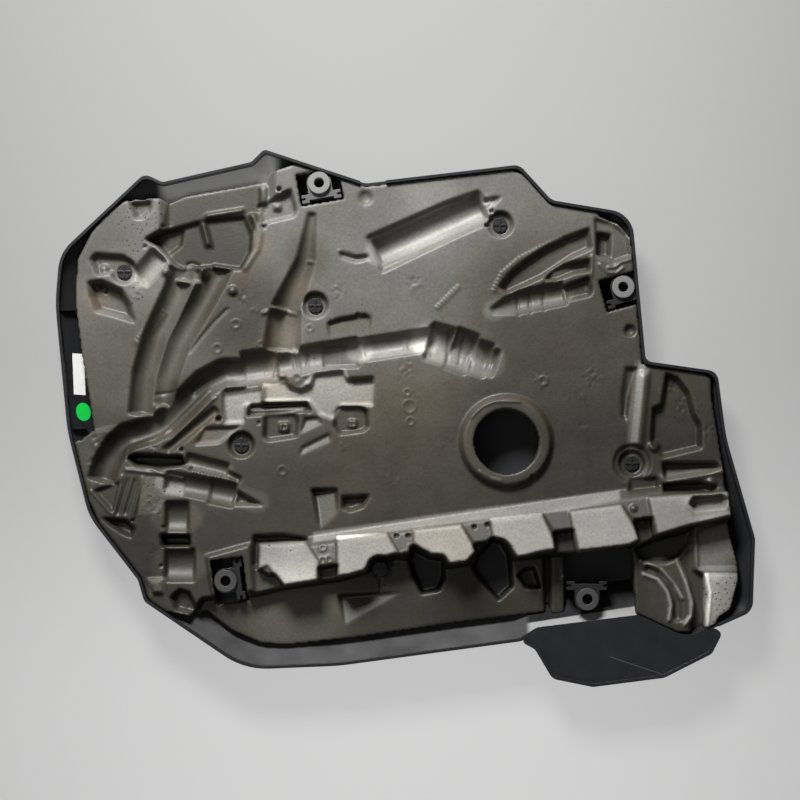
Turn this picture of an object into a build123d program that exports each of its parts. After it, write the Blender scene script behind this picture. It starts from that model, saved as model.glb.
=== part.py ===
from build123d import *
import os
from math import atan2, cos, tan

# Engine cover, lying on its outer face with the foam-lined underside up.
# Sizes are in millimetres. X runs along the cover, Y towards its upper edge, Z up.

# Shell: a dish with a flat outer face, a sloped shoulder and an upright lip
SHELL_WALL = 2.8
SHELL_DEPTH = 46.0
SHOULDER_RUN = 33.0
SHOULDER_RISE = 33.0
TONGUE_DROP = 6.0
NOTCH_DEPTH = 5.0
NOTCH_WIDTH = 24.0
FLANK_RIB_HEIGHT = 4.0
FLANK_RIB_WIDTH = 1.8

# Foam liner
FOAM_GAP = 0.2
FOAM_BELOW_RIM = 4.0
LOWER_STEP = 16.0
RIDGE_BAND_RUN = 10.0
RIDGE_BAND_RISE = 8.0
RIDGE_CREST_RUN = 50.0
RIDGE_CREST_RISE = 22.0
RIDGE_GROOVE_DEPTH = 5.0
FILLER_RADIUS = 30.4
COLLAR_RADIUS = 44.0
COLLAR_RISE = 8.0
SHALLOW = 4.5
MIDDLE = 9.5
PLATE_DEPTH = 7.0
DEEP = 15.0
PAD_RISE = 5.0
HOSE_SINK = 3.5
RAMP_ANGLE = 19.0
STEEP = 1.5
SLOPED = 3.0
SOFT = 5.0
RUNNER_RADIUS = 11.6
MAIN_HOSE_RADIUS = 12.2
TEE_PIPE_RADIUS = 10.5
CANISTER_RADIUS = 13.0
BRANCH_HOSE_RADIUS = 10.0
SMALL_HOSE_RADIUS = 7.0
THIN_PIPE_RADIUS = 4.5
SADDLE_RADIUS = 18.0
SADDLE_LIFT = 8.0
TERRACE_DRAFT = 7.5
COLUMN_RISE = 4.0
COLUMN_DRAFT = 6.0
PEDESTAL_RADIUS = 17.0
PEDESTAL_DEPTH = 3.0

# Grommet brackets
TAB_THICKNESS = 3.0
TAB_WIDTH = 23.0
TAB_REACH = 10.2
TAB_ROOT = 12.5
UPRIGHT_THICKNESS = 3.2
FOOT_WIDTH = 7.0
FOOT_DEPTH = 8.0
FOOT_SLOT = 2.2
BRACKET_GAP = 0.1
BRACKET_ROOM = 1.8

# Rubber grommets
THROAT_RADIUS = 4.75
NECK_RADIUS = 7.3
NECK_SIDES = 8
NECK_CLEARANCE = 0.15
FLANGE_RADIUS = 10.3
FLANGE_HEIGHT = 4.0
NECK_BELOW = 5.0

# Push-in foam clips
CLIP_HEAD_RADIUS = 6.8
CLIP_HEAD_HEIGHT = 2.2
CLIP_RIB_WIDTH = 1.6
CLIP_RIB_HEIGHT = 1.2
CLIP_SHANK_WIDTH = 5.0
CLIP_GRIP = 10.0
CLIP_SINK = 8.0
CLIP_POCKET_RADIUS = 11.5
POST_WIDTH = 8.4
POST_HEIGHT = 16.0
POST_CLEARANCE = 0.1
POST_ROOM = 0.5

# Stickers on the left flank
LABEL_LENGTH = 39.0
LABEL_WIDTH = 13.5
DOT_RADIUS = 8.5
STICKER_THICKNESS = 0.3
STICKER_GAP = 0.05

# Heights and small values that follow from the sizes above
FOAM_FACE = SHELL_DEPTH - FOAM_BELOW_RIM
LOWER_FACE = FOAM_FACE - LOWER_STEP
TAB_TOP = FOAM_FACE
CUT_TOP = FOAM_FACE + RIDGE_CREST_RISE + 10.0
SMALLEST_RADIUS = 0.6
SMALLEST_REACH = 0.5
ARC_SHARE = 0.45

# Ends of the left flank, and the corners of the dish at its rim, clockwise, each with its radius
FLANK_FOOT = (-312.5, -14)
FLANK_HEAD = (-325, 105)
RIM_CORNERS = [
    (-147, -234.6, 70), (-240, -172, 10), (-246, -152, 12), (-292, -93, 60),
    (*FLANK_FOOT, 150), (*FLANK_HEAD, 150), (-321.5, 152, 38), (-243, 227, 9),
    (-226, 219, 8), (-143, 238, 8), (-131, 250, 5), (-36, 218.5, 14),
    (108, 235.5, 12), (138, 202, 14), (213, 189.5, 25), (225, 51, 7),
    (291.5, 41.5, 11), (299, -20, 150), (325, -114, 14), (322, -181, 14),
    (262, -207.5, 20), (218, -187, 12), (124, -198.5, 12), (108, -208.5, 10),
    (-60, -231, 200),
]

# Outer edge of the tongue, from the lower rim round to the right rim
TONGUE_EDGE = [(106, -208), (121, -216), (137, -243), (174, -250.5), (240, -242), (284, -220), (298, -193)]
TONGUE_ROOT = [(262, -204), (218, -183), (124, -194)]
TONGUE_RADIUS = 9.0

# Plan of the foam; points beyond the rim lie outside the dish on purpose
FOAM_PLAN = [
    (-340, -30), (-300, -22), (-288.5, -13), (-293.6, 21), (-300, 55), (-307, 110), (-305, 147),
    (-292, 173), (-277, 192), (-262, 202), (-230, 205), (-221, 201), (-205, 208), (-150, 217.5),
    (-128, 222), (-120, 231), (-104, 236), (-95, 262), (150, 262), (183, 187), (203, 179),
    (212, 166), (215, 145), (235, 130), (240, 70), (286, 60), (286, 20), (296, -45), (302, -108),
    (309, -136), (309, -153), (302, -179), (290, -187), (287, -199), (276, -205), (258, -203),
    (214, -182), (149, -182), (149, -187), (138, -186), (137, -181), (43, -192.5), (-41, -205),
    (-112, -212.5), (-134, -210), (-160, -199), (-184, -180), (-196, -186), (-222, -181), (-262, -195),
]

# Places of the fixings: bore centre, and the direction in which the tab points
BRACKETS = {
    "upper_left": (-79.5, 218.5, 100),
    "right": (204.5, 120.5, 105),
    "lower_left": (-165, -153, 187),
    "lower_right": (169.5, -169.8, 270),
}
CLIPS = [(-262, 136), (-83, 104), (90, 180), (-151.5, -26.5), (212, -43.7), (-22, -142)]
FILLER = (95, -24)
NOTCH = (-29, 219)
NOTCH_TURN = 6
RIDGE_START = (-88, -112)
RIDGE_END = (203, -68.5)
RIDGE_LEAD = 60
RIDGE_LENGTH = 480
FLANK_RIBS = [99, -12]
LABEL_PLACE = 39.0
LABEL_INSET = 13.0
LABEL_TURN = -4.0
DOT_PLACE = 3.5
DOT_INSET = 13.7


def corner(points, index):
    """Place of one corner, the directions into and out of it, and the turn between them."""
    here = Vector(*points[index])
    into = here - Vector(*points[index - 1])
    out = Vector(*points[(index + 1) % len(points)]) - here
    turn = atan2(into.cross(out).Z, into.dot(out))
    return here, into, out, turn


def handedness(points):
    """1 for corners listed anticlockwise, -1 for clockwise."""
    area = sum(Vector(*points[i - 1]).cross(Vector(*points[i])).Z for i in range(len(points)))
    return 1 if area > 0 else -1


def inset_corners(points, inset):
    """Corners of the same outline with every side moved inward."""
    side = handedness(points)
    moved = []
    for index in range(len(points)):
        here, into, out, turn = corner(points, index)
        along = (into.normalized() + out.normalized()).normalized()
        inward = Vector(-along.Y, along.X) * side
        place = here + inward * (inset / cos(turn / 2))
        moved.append((place.X, place.Y))
    return moved


def rounded_wire(points, radii, height):
    """Closed wire of straight sides with an arc at each corner."""
    arcs = []
    for index, radius in enumerate(radii):
        here, into, out, turn = corner(points, index)
        half = tan(abs(turn) / 2)
        reach = min(max(radius * half, SMALLEST_REACH), ARC_SHARE * into.length, ARC_SHARE * out.length)
        sagitta = reach / half * (1 / cos(turn / 2) - 1)
        inside = (out.normalized() - into.normalized()).normalized()
        lift = Vector(0, 0, height)
        start = here - into.normalized() * reach + lift
        end = here + out.normalized() * reach + lift
        arcs.append(ThreePointArc(start, here + inside * sagitta + lift, end))
    sides = [Line(arcs[i - 1] @ 1, arcs[i] @ 0) for i in range(len(arcs))]
    edges = [edge for pair in zip(sides, arcs) for edge in pair]
    return Wire([edge.edge() for edge in edges])


def flat_faced(levels):
    """Solid with flat faces through outlines of matching corners, each given as points and a height."""
    rings = [[(x, y, height) for x, y in points] for points, height in levels]
    faces = [Face(Wire.make_polygon(rings[0])), Face(Wire.make_polygon(rings[-1]))]
    for low, high in zip(rings, rings[1:]):
        for index in range(len(low)):
            side = [low[index - 1], low[index], high[index], high[index - 1]]
            faces.append(Face(Wire.make_polygon(side)))
    return Solid(Shell(faces))


def chord_points(points, radii):
    """Corners of a straight-sided outline that stays inside the rounded one."""
    side = handedness(points)
    chords = []
    for index, radius in enumerate(radii):
        here, into, out, turn = corner(points, index)
        reach = min(radius * tan(abs(turn) / 2), ARC_SHARE * into.length, ARC_SHARE * out.length)
        ends = [here - into.normalized() * reach, here + out.normalized() * reach]
        chords += ends if turn * side > 0 else [here]
    return [(place.X, place.Y) for place in chords]


def prism(points, sections):
    """Flat-faced solid through sections of one outline, each given as height and inset."""
    return flat_faced([(inset_corners(points, inset), height) for height, inset in sections])


def rounded_prism(points, radii, sections):
    """Solid through sections of one outline with rounded corners, each given as height and inset."""
    wires = [rounded_wire(inset_corners(points, inset), radii, height) for height, inset in sections]
    return Solid.make_loft(wires, ruled=True)


def dish(inward, straight_sided=False):
    """The space inside the shell's outer skin, moved inward from it on every side."""
    points = [(x, y) for x, y, radius in RIM_CORNERS]
    radii = [radius for x, y, radius in RIM_CORNERS]
    sections = [
        (inward, SHOULDER_RUN + inward),
        (SHOULDER_RISE + inward, inward),
        (SHELL_DEPTH, inward),
    ]
    if not straight_sided:
        return rounded_prism(points, radii, sections)
    levels = [(inset_corners(points, inset), height) for height, inset in sections]
    return flat_faced([(chord_points(moved, radii), height) for moved, height in levels])


def pocket(points, depth, draft=STEEP, face=FOAM_FACE):
    """Cutter for a recess with drafted walls below a face of the foam."""
    return prism(points, [(face - depth, draft), (face, 0), (CUT_TOP, 0)])


def boss(points, rise, draft=SLOPED, face=FOAM_FACE, root=PAD_RISE):
    """Raised pad with drafted walls, rooted below a face of the foam."""
    return prism(points, [(face - root, 0), (face, 0), (face + rise, draft)])


def ramp(points, hinge, face=FOAM_FACE):
    """Cutter whose floor falls away to the left of a hinge line in a face of the foam."""
    start, end = hinge
    column = prism(points, [(face, 0), (CUT_TOP, 0)])
    axis = Axis((*start, face), (end[0] - start[0], end[1] - start[1], 0))
    return column.rotate(axis, -RAMP_ANGLE)


def hose(points, radius, sink=0.0):
    """Cutter for the imprint of a bent hose, mitred at its points, with upright walls above its axis."""
    path = Polyline(*[(x, y, FOAM_FACE - sink) for x, y in points])
    ahead = path % 0
    plane = Plane(origin=path @ 0, x_dir=ahead.cross(Vector(0, 0, 1)), z_dir=ahead)
    section = Circle(radius) + Pos(0, -radius) * Rectangle(2 * radius, 2 * radius)
    return sweep(plane * section, path, transition=Transition.RIGHT).solid()


def taper(stations):
    """Cutters for the half-round imprint of a run that changes its radius, as x, y, radius."""
    cones = []
    for (x, y, radius), (next_x, next_y, next_radius) in zip(stations, stations[1:]):
        axis = Vector(next_x - x, next_y - y)
        plane = Plane(origin=(x, y, FOAM_FACE), z_dir=axis)
        cones.append(Solid.make_cone(radius, next_radius, axis.length, plane))
    return cones


def pipe(start, end, radius, sink=0.0):
    """Cutter for the half-round imprint of a straight pipe."""
    axis = Vector(*end) - Vector(*start)
    return Solid.make_cylinder(radius, axis.length, Plane(origin=(*start, FOAM_FACE - sink), z_dir=axis))


def steps(stations, sink=0.0):
    """Cutters for stepped collars: x, y and the radius up to the next station."""
    pairs = zip(stations, stations[1:])
    return [pipe((x, y), after[:2], radius, sink) for (x, y, radius), after in pairs]


def cup(x, y, radius, depth, face=FOAM_FACE):
    """Cutter for a round recess."""
    return Solid.make_cylinder(radius, CUT_TOP - face + depth, Plane((x, y, face - depth)))


def manifold_recesses():
    """Imprint of the intake manifold and its three runners, upper left, open at the foam's edge."""
    terrace = [(-229, 222), (-229, 171), (-139, 171), (-120, 206), (-120, 242)]
    hollow = [(-243, 166), (-224, 177), (-188, 187), (-149, 191), (-141, 173), (-142, 155), (-152, 137),
              (-182, 139), (-207, 137), (-217, 141), (-233, 160)]
    corner_hollow = [(-243, 166), (-224, 177), (-204, 180), (-208, 160), (-222, 149), (-233, 160)]
    shelf = [(-221, 140), (-190, 138), (-187, 124), (-214, 128)]
    side = [(-137, 199), (-134, 180), (-103, 187.5), (-100.5, 193), (-106, 213), (-122, 206)]
    runner_1 = [(-205, 142), (-213, 116), (-231, 76), (-241, 40), (-244.5, 2)]
    runner_2 = [(-170, 144), (-186, 113), (-211, 70), (-223, 36), (-226, 10)]
    runner_3 = [(-86, 190, 4), (-92, 146, 8.5), (-111, 99, 13.5)]
    flare = [(-111, 99, 14.5), (-114, 62, 17)]
    return [
        pocket(terrace, MIDDLE, TERRACE_DRAFT), pocket(hollow, DEEP, SLOPED), pocket(shelf, MIDDLE),
        pocket(corner_hollow, DEEP + SHALLOW, SLOPED), pocket(side, MIDDLE),
        hose(runner_1, RUNNER_RADIUS, HOSE_SINK), hose(runner_2, RUNNER_RADIUS, HOSE_SINK),
        *taper(runner_3), *taper(flare),
    ]


def manifold_ribs():
    """Ribs, lips and pads that stand in the manifold's imprint."""
    fin = [(-194, 185), (-186, 186), (-179, 160), (-187, 159)]
    crest = [(-187, 186), (-150, 192), (-150, 197), (-187, 191)]
    lips = [
        [(-214, 130), (-190, 126), (-190, 121.5), (-214, 125.5)],
        [(-180, 143.5), (-154, 139.5), (-154, 135), (-180, 139)],
    ]
    brow = [(-139, 190), (-131, 172), (-134, 155), (-147, 135), (-153, 137), (-140, 157), (-139, 172),
            (-145, 190)]
    step = [(-136, 199), (-128, 199), (-128, 217), (-136, 217)]
    stud = [(-123, 193.5), (-115, 193.5), (-115, 201), (-123, 201)]
    hollow_floor = FOAM_FACE - DEEP
    terrace_floor = FOAM_FACE - MIDDLE
    return [
        boss(fin, PAD_RISE, face=hollow_floor), boss(crest, SLOPED, STEEP, terrace_floor),
        *[boss(lip, DEEP - SHALLOW, STEEP, hollow_floor) for lip in lips],
        boss(brow, STEEP, STEEP, root=DEEP + STEEP), boss(step, PAD_RISE, STEEP, terrace_floor),
        boss(stud, PAD_RISE, STEEP, terrace_floor),
    ]


def corner_recesses():
    """Recesses beside the upper left clip."""
    lower = [(-296, 126), (-294, 112), (-288, 98), (-265, 92), (-251, 87), (-255, 105), (-263, 119),
             (-283, 128)]
    thumb = [(-258, 202), (-252, 185), (-244, 185), (-236, 194), (-236, 204)]
    pear = [(-294, 147), (-289, 153), (-262, 151), (-250, 142), (-262, 136), (-277, 133), (-286, 131)]
    return [
        pipe((-247, 128), (-228, 151), BRANCH_HOSE_RADIUS), pocket(lower, DEEP, SOFT),
        pocket(thumb, MIDDLE, SLOPED), pocket(pear, CLIP_SINK, SLOPED),
    ]


def canister_recess():
    """Long stepped trough with its tail hose, top middle."""
    shelf = [(-36, 168), (38, 201), (70, 212), (76, 205), (79, 187), (75, 179), (52, 169), (-21, 134)]
    tail = [(-60, 155), (-45, 151), (-34, 152), (-32, 147), (-45, 144), (-60, 149)]
    horn = [(78, 192), (92, 206), (78, 205)]
    return [
        pocket(shelf, SHALLOW), pipe((-25, 153), (74, 197), CANISTER_RADIUS, SHALLOW),
        pocket(tail, SHALLOW), pocket(horn, SHALLOW),
    ]


def leaf_recesses():
    """Curved leaves and the torpedo-shaped imprint, upper right."""
    crest = [(88, 121), (100, 136), (115, 148), (132, 159), (150, 168), (174, 177), (176, 157), (160, 150),
             (130, 130), (96, 114)]
    middle = [(131, 128), (138, 138), (150, 143.5), (174, 147), (174, 136), (160, 134), (142, 127)]
    inner = [(148, 122), (174, 131), (176, 118), (174, 113), (152, 108)]
    torpedo = [(82, 98.5, 3), (104, 106, 10.5), (150, 115.5, 11)]
    corner_well = [(178, 186), (195, 182), (209, 171), (213, 150), (196, 144), (180, 150)]
    well_box = [(180, 151), (193, 149), (194, 171), (181, 173)]
    dimple = [(205, 80), (208, 85), (214, 85), (217, 80), (214, 75), (208, 75)]
    edge_groove = [(206, 46), (220, 46), (212, 20), (207, -6), (202, 0), (202, 20)]
    return [
        pocket(crest, MIDDLE, SLOPED), pocket(middle, MIDDLE), pocket(inner, MIDDLE), *taper(torpedo),
        pocket(corner_well, SHALLOW), pocket(well_box, DEEP), pocket(dimple, SHALLOW),
        pocket(edge_groove, SHALLOW, SLOPED),
    ]


def tee_recesses():
    """Imprint of the tee piece, its straight pipe and the stepped coupling."""
    left_run = [(-150, 43, 17), (-118, 47, 10.5), (-98, 52, 12.5), (-42, 62, 12)]
    coupling = [(23, 70.5, 18), (44, 64.5, 20), (63, 57, 16.5), (79, 51.5, 13), (86, 49, 1)]
    box = [(-71, 87), (-60, 91), (-36, 95), (-31, 92), (-31, 76), (-70, 70)]
    block = [(-76, 45), (-42, 46), (-42, 68), (-76, 66)]
    return [
        *steps(left_run), *steps(coupling), pipe((-44, 61), (26, 72), TEE_PIPE_RADIUS),
        ramp(box, (box[5], box[4])), pocket(block, DEEP),
    ]


def plate_recesses():
    """Plates and pockets below the tee piece, and ramps beside them."""
    plate = [(-131, 36), (-110, 38), (-108, 29), (-97, 25), (-87, 29), (-84, 40), (-57, 43), (-53, 35),
             (-28, 37), (-29, 10), (-58, 10), (-66, -3), (-80, 2), (-88, 14), (-130, 14)]
    elbow = [(-170, 26), (-133, 30), (-133, 12), (-148, 10), (-149, -6), (-167, -7)]
    slot = [(-146, 0), (-144, 12), (-90, 14), (-86, 4)]
    pocket_a = [(-131, -20), (-126, -23), (-100, -19), (-98, -5), (-101, 4), (-130, 3)]
    pocket_b = [(-66, 5), (-62, 10), (-40, 10), (-34, 5), (-33, -10), (-38, -14), (-60, -17), (-65, -10)]
    fin = [(-98, -18), (-75, -8), (-80, -1), (-92, -2)]
    bar = [(-98, -38), (-95, -29), (-69, -16), (-68, -24)]
    return [
        pocket(plate, PLATE_DEPTH), pocket(elbow, PLATE_DEPTH), pocket(slot, DEEP),
        pocket(pocket_a, MIDDLE), pocket(pocket_b, MIDDLE), ramp(fin, (fin[0], fin[1])),
        ramp(bar, (bar[0], bar[3])),
    ]


def plate_bosses():
    """Small pads that stand in the two square pockets."""
    pad_a = [(-117, -14.5), (-107, -14.5), (-107, -5.5), (-117, -5.5)]
    pad_b = [(-52, -11), (-44, -11), (-44, -3), (-52, -3)]
    return [boss(pad, PAD_RISE, STEEP, FOAM_FACE - MIDDLE) for pad in (pad_a, pad_b)]


def left_hose_recesses():
    """Hoses, clamps and small plates on the left."""
    main = [(-148, 41), (-168, 40.5), (-186, 31), (-222, -6), (-236, -13), (-258, -19.5), (-268, -29),
            (-277, -45), (-281, -60)]
    branch = [(-222, -61), (-200, -64.5), (-178, -68.5)]
    tip = [(-157, -67), (-129, -83.5), (-158, -83)]
    end_patch = [(-166, -49), (-150, -57), (-153, -63), (-168, -56)]
    triangle = [(-195, -27), (-186, -10), (-150, -9), (-165, -20), (-172, -25)]
    dark_slot = [(-259, -38), (-250, -35), (-206, -37), (-203, -46), (-228, -49), (-250, -46)]
    return [
        hose(main, MAIN_HOSE_RADIUS, HOSE_SINK), hose(branch, BRANCH_HOSE_RADIUS),
        pocket(tip, MIDDLE, SLOPED), pocket(end_patch, SHALLOW), pocket(triangle, SHALLOW),
        pocket(dark_slot, DEEP),
        pipe((-174, 6), (-222, -33), THIN_PIPE_RADIUS), pipe((-203, -41), (-164, -51), SMALL_HOSE_RADIUS),
        pipe((-180, -69), (-157, -73.5), RUNNER_RADIUS),
    ]


def left_edge_recesses():
    """Bars and saddles stacked down the left edge."""
    bars = [[(x - 2, -58), (x + 2, -58), (x - 8, -92), (x - 12, -92)] for x in (-256, -249)]
    wing = [(-289, -69), (-263, -60), (-270, -91)]
    pit = [(-282, -94), (-257, -96), (-249, -104), (-253, -113), (-262, -109), (-274, -101)]
    gap = [(-226, -110), (-199, -110), (-198, -121), (-224, -121)]
    ear = [(-217, -168), (-208, -160), (-198, -163), (-190, -180), (-196, -184), (-212, -180)]
    return [
        *[pocket(bar, SHALLOW / 2) for bar in bars], pocket(wing, SHALLOW), pocket(pit, MIDDLE, SLOPED),
        pipe((-221, -94.5), (-200, -94.5), SADDLE_RADIUS, -SADDLE_LIFT), pocket(gap, 2 * MIDDLE),
        pipe((-221, -138), (-194, -138), SADDLE_RADIUS, -SADDLE_LIFT), pocket(ear, MIDDLE, SLOPED),
    ]


def field_recesses():
    """Single recesses in the open field and below the ridge."""
    flag = [(-85, -69), (-62, -68), (-61, -90), (-78, -106)]
    leaf = [(-58, -74), (-31, -73), (-38, -85), (-50, -89), (-58, -86)]
    kite = [(-61, -167), (0, -163), (-55, -194)]
    trench = [(-140, -111), (-112, -109.5), (-90, -113), (-91, -117), (-134, -119), (-135, -143),
              (-140, -139)]
    return [
        ramp(flag, (flag[3], flag[2])), pocket(leaf, MIDDLE, SLOPED),
        ramp(kite, (kite[2], kite[1]), LOWER_FACE), pocket(trench, MIDDLE),
    ]


def ridge_wedge(profile):
    """Long solid under a roof given as run across the ridge and rise above the foam's face."""
    start = Vector(*RIDGE_START)
    along = (Vector(*RIDGE_END) - start).normalized()
    across = Vector(along.Y, -along.X)
    plane = Plane(origin=start - along * RIDGE_LEAD, x_dir=across, z_dir=along * -1)
    roof = [(run, FOAM_FACE + rise) for run, rise in profile]
    outline = Polyline((roof[0][0], 0), *roof, (roof[-1][0], 0), close=True)
    return extrude(plane * make_face(outline), -RIDGE_LENGTH).solid()


def ridge():
    """Ridge of sloped blocks along the lower edge, on one common band."""
    band_plan = [
        (-88, -112), (203, -68.5), (236, -66), (299, -70), (301, -94), (262, -103), (208, -120), (160, -126),
        (100, -130), (40, -137), (-8, -129), (-36, -143), (-80, -152), (-112, -156), (-136, -141),
        (-136, -119), (-92, -116),
    ]
    blocks = [
        [(-135, -119), (-93, -115), (-79, -135), (-79, -153), (-110, -158), (-126, -139), (-135, -143)],
        [(-62, -112), (-16, -109.5), (-6, -127), (-20, -131), (-34, -141), (-38, -147), (-61, -149.5)],
        [(9, -106), (52, -101.5), (64, -118), (66, -127), (58, -136), (42, -138), (36, -130), (24, -129),
         (9, -118)],
        [(80, -96.5), (127, -91.5), (138, -109), (140, -125), (126, -127), (104, -133), (96, -119),
         (82, -112)],
        [(153, -89), (200, -83), (212, -98), (217, -116), (207, -121), (160, -127)],
        [(226, -76), (299, -71), (301, -94), (262, -103), (232, -112)],
    ]
    low = FOAM_FACE - RIDGE_BAND_RISE
    ledge_run = (RIDGE_BAND_RUN + RIDGE_CREST_RUN) / 2
    ledge_rise = RIDGE_BAND_RISE + RIDGE_GROOVE_DEPTH
    far_run = 2 * RIDGE_CREST_RUN
    band_profile = [
        (0, 0), (RIDGE_BAND_RUN, RIDGE_BAND_RISE), (ledge_run, ledge_rise), (ledge_run, 0), (far_run, 0),
    ]
    band_roof = ridge_wedge(band_profile)
    block_profile = [(0, RIDGE_BAND_RISE), (RIDGE_CREST_RUN, RIDGE_CREST_RISE), (far_run, RIDGE_CREST_RISE)]
    block_roof = ridge_wedge(block_profile)
    column = [(low, 0), (CUT_TOP, 0)]
    band = prism(band_plan, column) & band_roof
    tops = [prism(plan, column) & block_roof for plan in blocks]
    return [piece.solid() for piece in (band, *tops)]


def lower_step():
    """Cutters that drop the foam below the ridge, and the deep wells beside it."""
    step = [(-187, -169), (-137, -165), (-112, -159), (-60, -151), (-36, -144), (-8, -130), (40, -139),
            (100, -132), (134, -129), (212, -121), (214, -190), (120, -215), (-60, -240), (-150, -245),
            (-205, -195)]
    well_1 = [(8, -121), (24, -130), (38, -132), (38, -150), (33, -162), (16, -165), (9, -150), (4, -134)]
    well_2 = [(82, -114), (92, -116), (99, -128), (102, -158), (88, -171), (74, -156), (64, -141), (69, -128)]
    well_3 = [(105, -148), (113, -141), (122, -140), (128, -160), (113, -160)]
    slit = [(130, -130), (137, -130), (137, -190), (131, -190)]
    right_well = [(149, -128), (212, -123), (215, -192), (150, -192)]
    return [
        pocket(step, LOWER_STEP), pocket(right_well, FOAM_FACE, 0), pocket(well_1, DEEP, face=LOWER_FACE),
        pocket(well_2, DEEP, face=LOWER_FACE), pocket(well_3, MIDDLE, face=LOWER_FACE),
        pocket(slit, MIDDLE, face=LOWER_FACE),
    ]


def right_lobe_recesses():
    """Steps, grooves and leaves of the right-hand lobe."""
    upper = [(244, 41), (256, 36), (266, 22), (271, 2), (277, -8), (277, -30), (240, -39), (229, -27),
             (231, 8), (239, 11)]
    upper_groove = [(240, -43), (290, -43), (296, -49), (283, -53), (242, -60)]
    lower_groove = [(241, -63), (276, -61), (291, -65), (287, -72), (241, -71)]
    pedestal_box = [(209, -57), (236, -57), (236, -68), (209, -71)]
    oval = [(263, -82), (267, -75), (294, -73), (299, -78), (295, -85), (268, -88)]
    shadow = [(232, -114), (270, -104), (267, -118), (256, -131), (243, -136), (222, -136), (213, -123)]
    plate = [(271, -106), (302, -96), (314, -133), (314, -142), (272, -142)]
    channel = [(262, -122), (270, -110), (271, -142), (279, -148), (282, -172), (279, -208), (262, -208),
               (268, -175), (262, -155), (251, -133)]
    arc = [(222, -144), (232, -146), (243, -157), (249, -171), (249, -190), (257, -190), (257, -171),
           (251, -156), (237, -141), (225, -137)]
    return [
        pocket(upper, MIDDLE, SLOPED), pocket(upper_groove, MIDDLE), pocket(lower_groove, MIDDLE),
        cup(*CLIPS[4], PEDESTAL_RADIUS, PEDESTAL_DEPTH), pocket(pedestal_box, SHALLOW),
        pocket(oval, MIDDLE, SLOPED, FOAM_FACE + RIDGE_BAND_RISE), pocket(shadow, 2 * MIDDLE),
        pocket(plate, SHALLOW), pocket(channel, MIDDLE, SLOPED), pocket(arc, SHALLOW),
    ]


def raised_pads():
    """Parts of the foam that stand above its face."""
    bracket_box = [(-185, -129), (-141, -117), (-137, -164), (-178, -169)]
    left_pad = [(-238, -151), (-222, -150), (-221, -166), (-233, -166)]
    column = [(216, 43), (231, 43), (223, -34), (208, -34)]
    return [boss(bracket_box, PAD_RISE), boss(left_pad, PAD_RISE), boss(column, COLUMN_RISE, COLUMN_DRAFT)]


def filler_collar():
    """Raised collar round the filler opening."""
    x, y = FILLER
    crown = COLLAR_RADIUS - COLLAR_RISE / 2
    collar = Solid.make_cone(COLLAR_RADIUS, crown, COLLAR_RISE, Plane((x, y, FOAM_FACE)))
    root = Solid.make_cylinder(COLLAR_RADIUS, LOWER_STEP, Plane((x, y, LOWER_FACE)))
    return [collar, root]


def bracket_outline(room):
    """Half widths and reach of a bracket in its own plane, with room around it."""
    half = TAB_WIDTH / 2 + FOOT_WIDTH + room
    back = TAB_ROOT + FOOT_DEPTH / 2 + room
    front = TAB_REACH + room
    return [(-back, -half), (front, -half), (front, half), (-back, half)]


def bracket_place(name):
    """Frame at a bracket's bore, with X along its tab."""
    x, y, heading = BRACKETS[name]
    return Pos(x, y, 0) * Rot(0, 0, heading)


def bracket(name, cavity):
    """Tab with its bore, on an upright with two slotted feet that stand on the shell."""
    half = TAB_WIDTH / 2
    tab_low = TAB_TOP - TAB_THICKNESS
    plan = [(-TAB_ROOT, -half), (TAB_REACH, -half), (TAB_REACH, half), (-TAB_ROOT, half)]
    nose = 0.9 * TAB_REACH
    tab = rounded_prism(plan, [SMALLEST_RADIUS, nose, nose, SMALLEST_RADIUS], [(tab_low, 0), (TAB_TOP, 0)])
    base = (Align.CENTER, Align.CENTER, Align.MIN)
    upright = Pos(-TAB_ROOT, 0, 0) * Box(UPRIGHT_THICKNESS, TAB_WIDTH, TAB_TOP, align=base)
    solid = tab + upright
    for side in (-1, 1):
        foot_place = Pos(-TAB_ROOT, side * (half + FOOT_WIDTH / 2), 0)
        foot = Box(FOOT_DEPTH, FOOT_WIDTH, TAB_TOP, align=base)
        slot = Pos(0, side * FOOT_WIDTH / 2, 0) * Box(FOOT_SLOT, FOOT_WIDTH, 3 * TAB_TOP)
        solid += foot_place * (foot - slot)
    solid -= neck(NECK_CLEARANCE, 0, 2 * TAB_TOP)
    return (bracket_place(name) * solid) & cavity


def neck(room, low, top):
    """Neck of a grommet between two heights, with room around it."""
    outline = RegularPolygon(NECK_RADIUS + room, NECK_SIDES)
    return Pos(0, 0, low) * extrude(outline, top - low)


def grommet(name):
    """Rubber bush with a flange and a neck pushed through the tab."""
    seat = TAB_TOP + NECK_CLEARANCE
    low = TAB_TOP - TAB_THICKNESS - NECK_BELOW
    base = (Align.CENTER, Align.CENTER, Align.MIN)
    flange = Pos(0, 0, seat) * Cylinder(FLANGE_RADIUS, FLANGE_HEIGHT, align=base)
    bush = flange + neck(0, low, seat) - Cylinder(THROAT_RADIUS, 3 * TAB_TOP)
    return bracket_place(name) * bush


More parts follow.
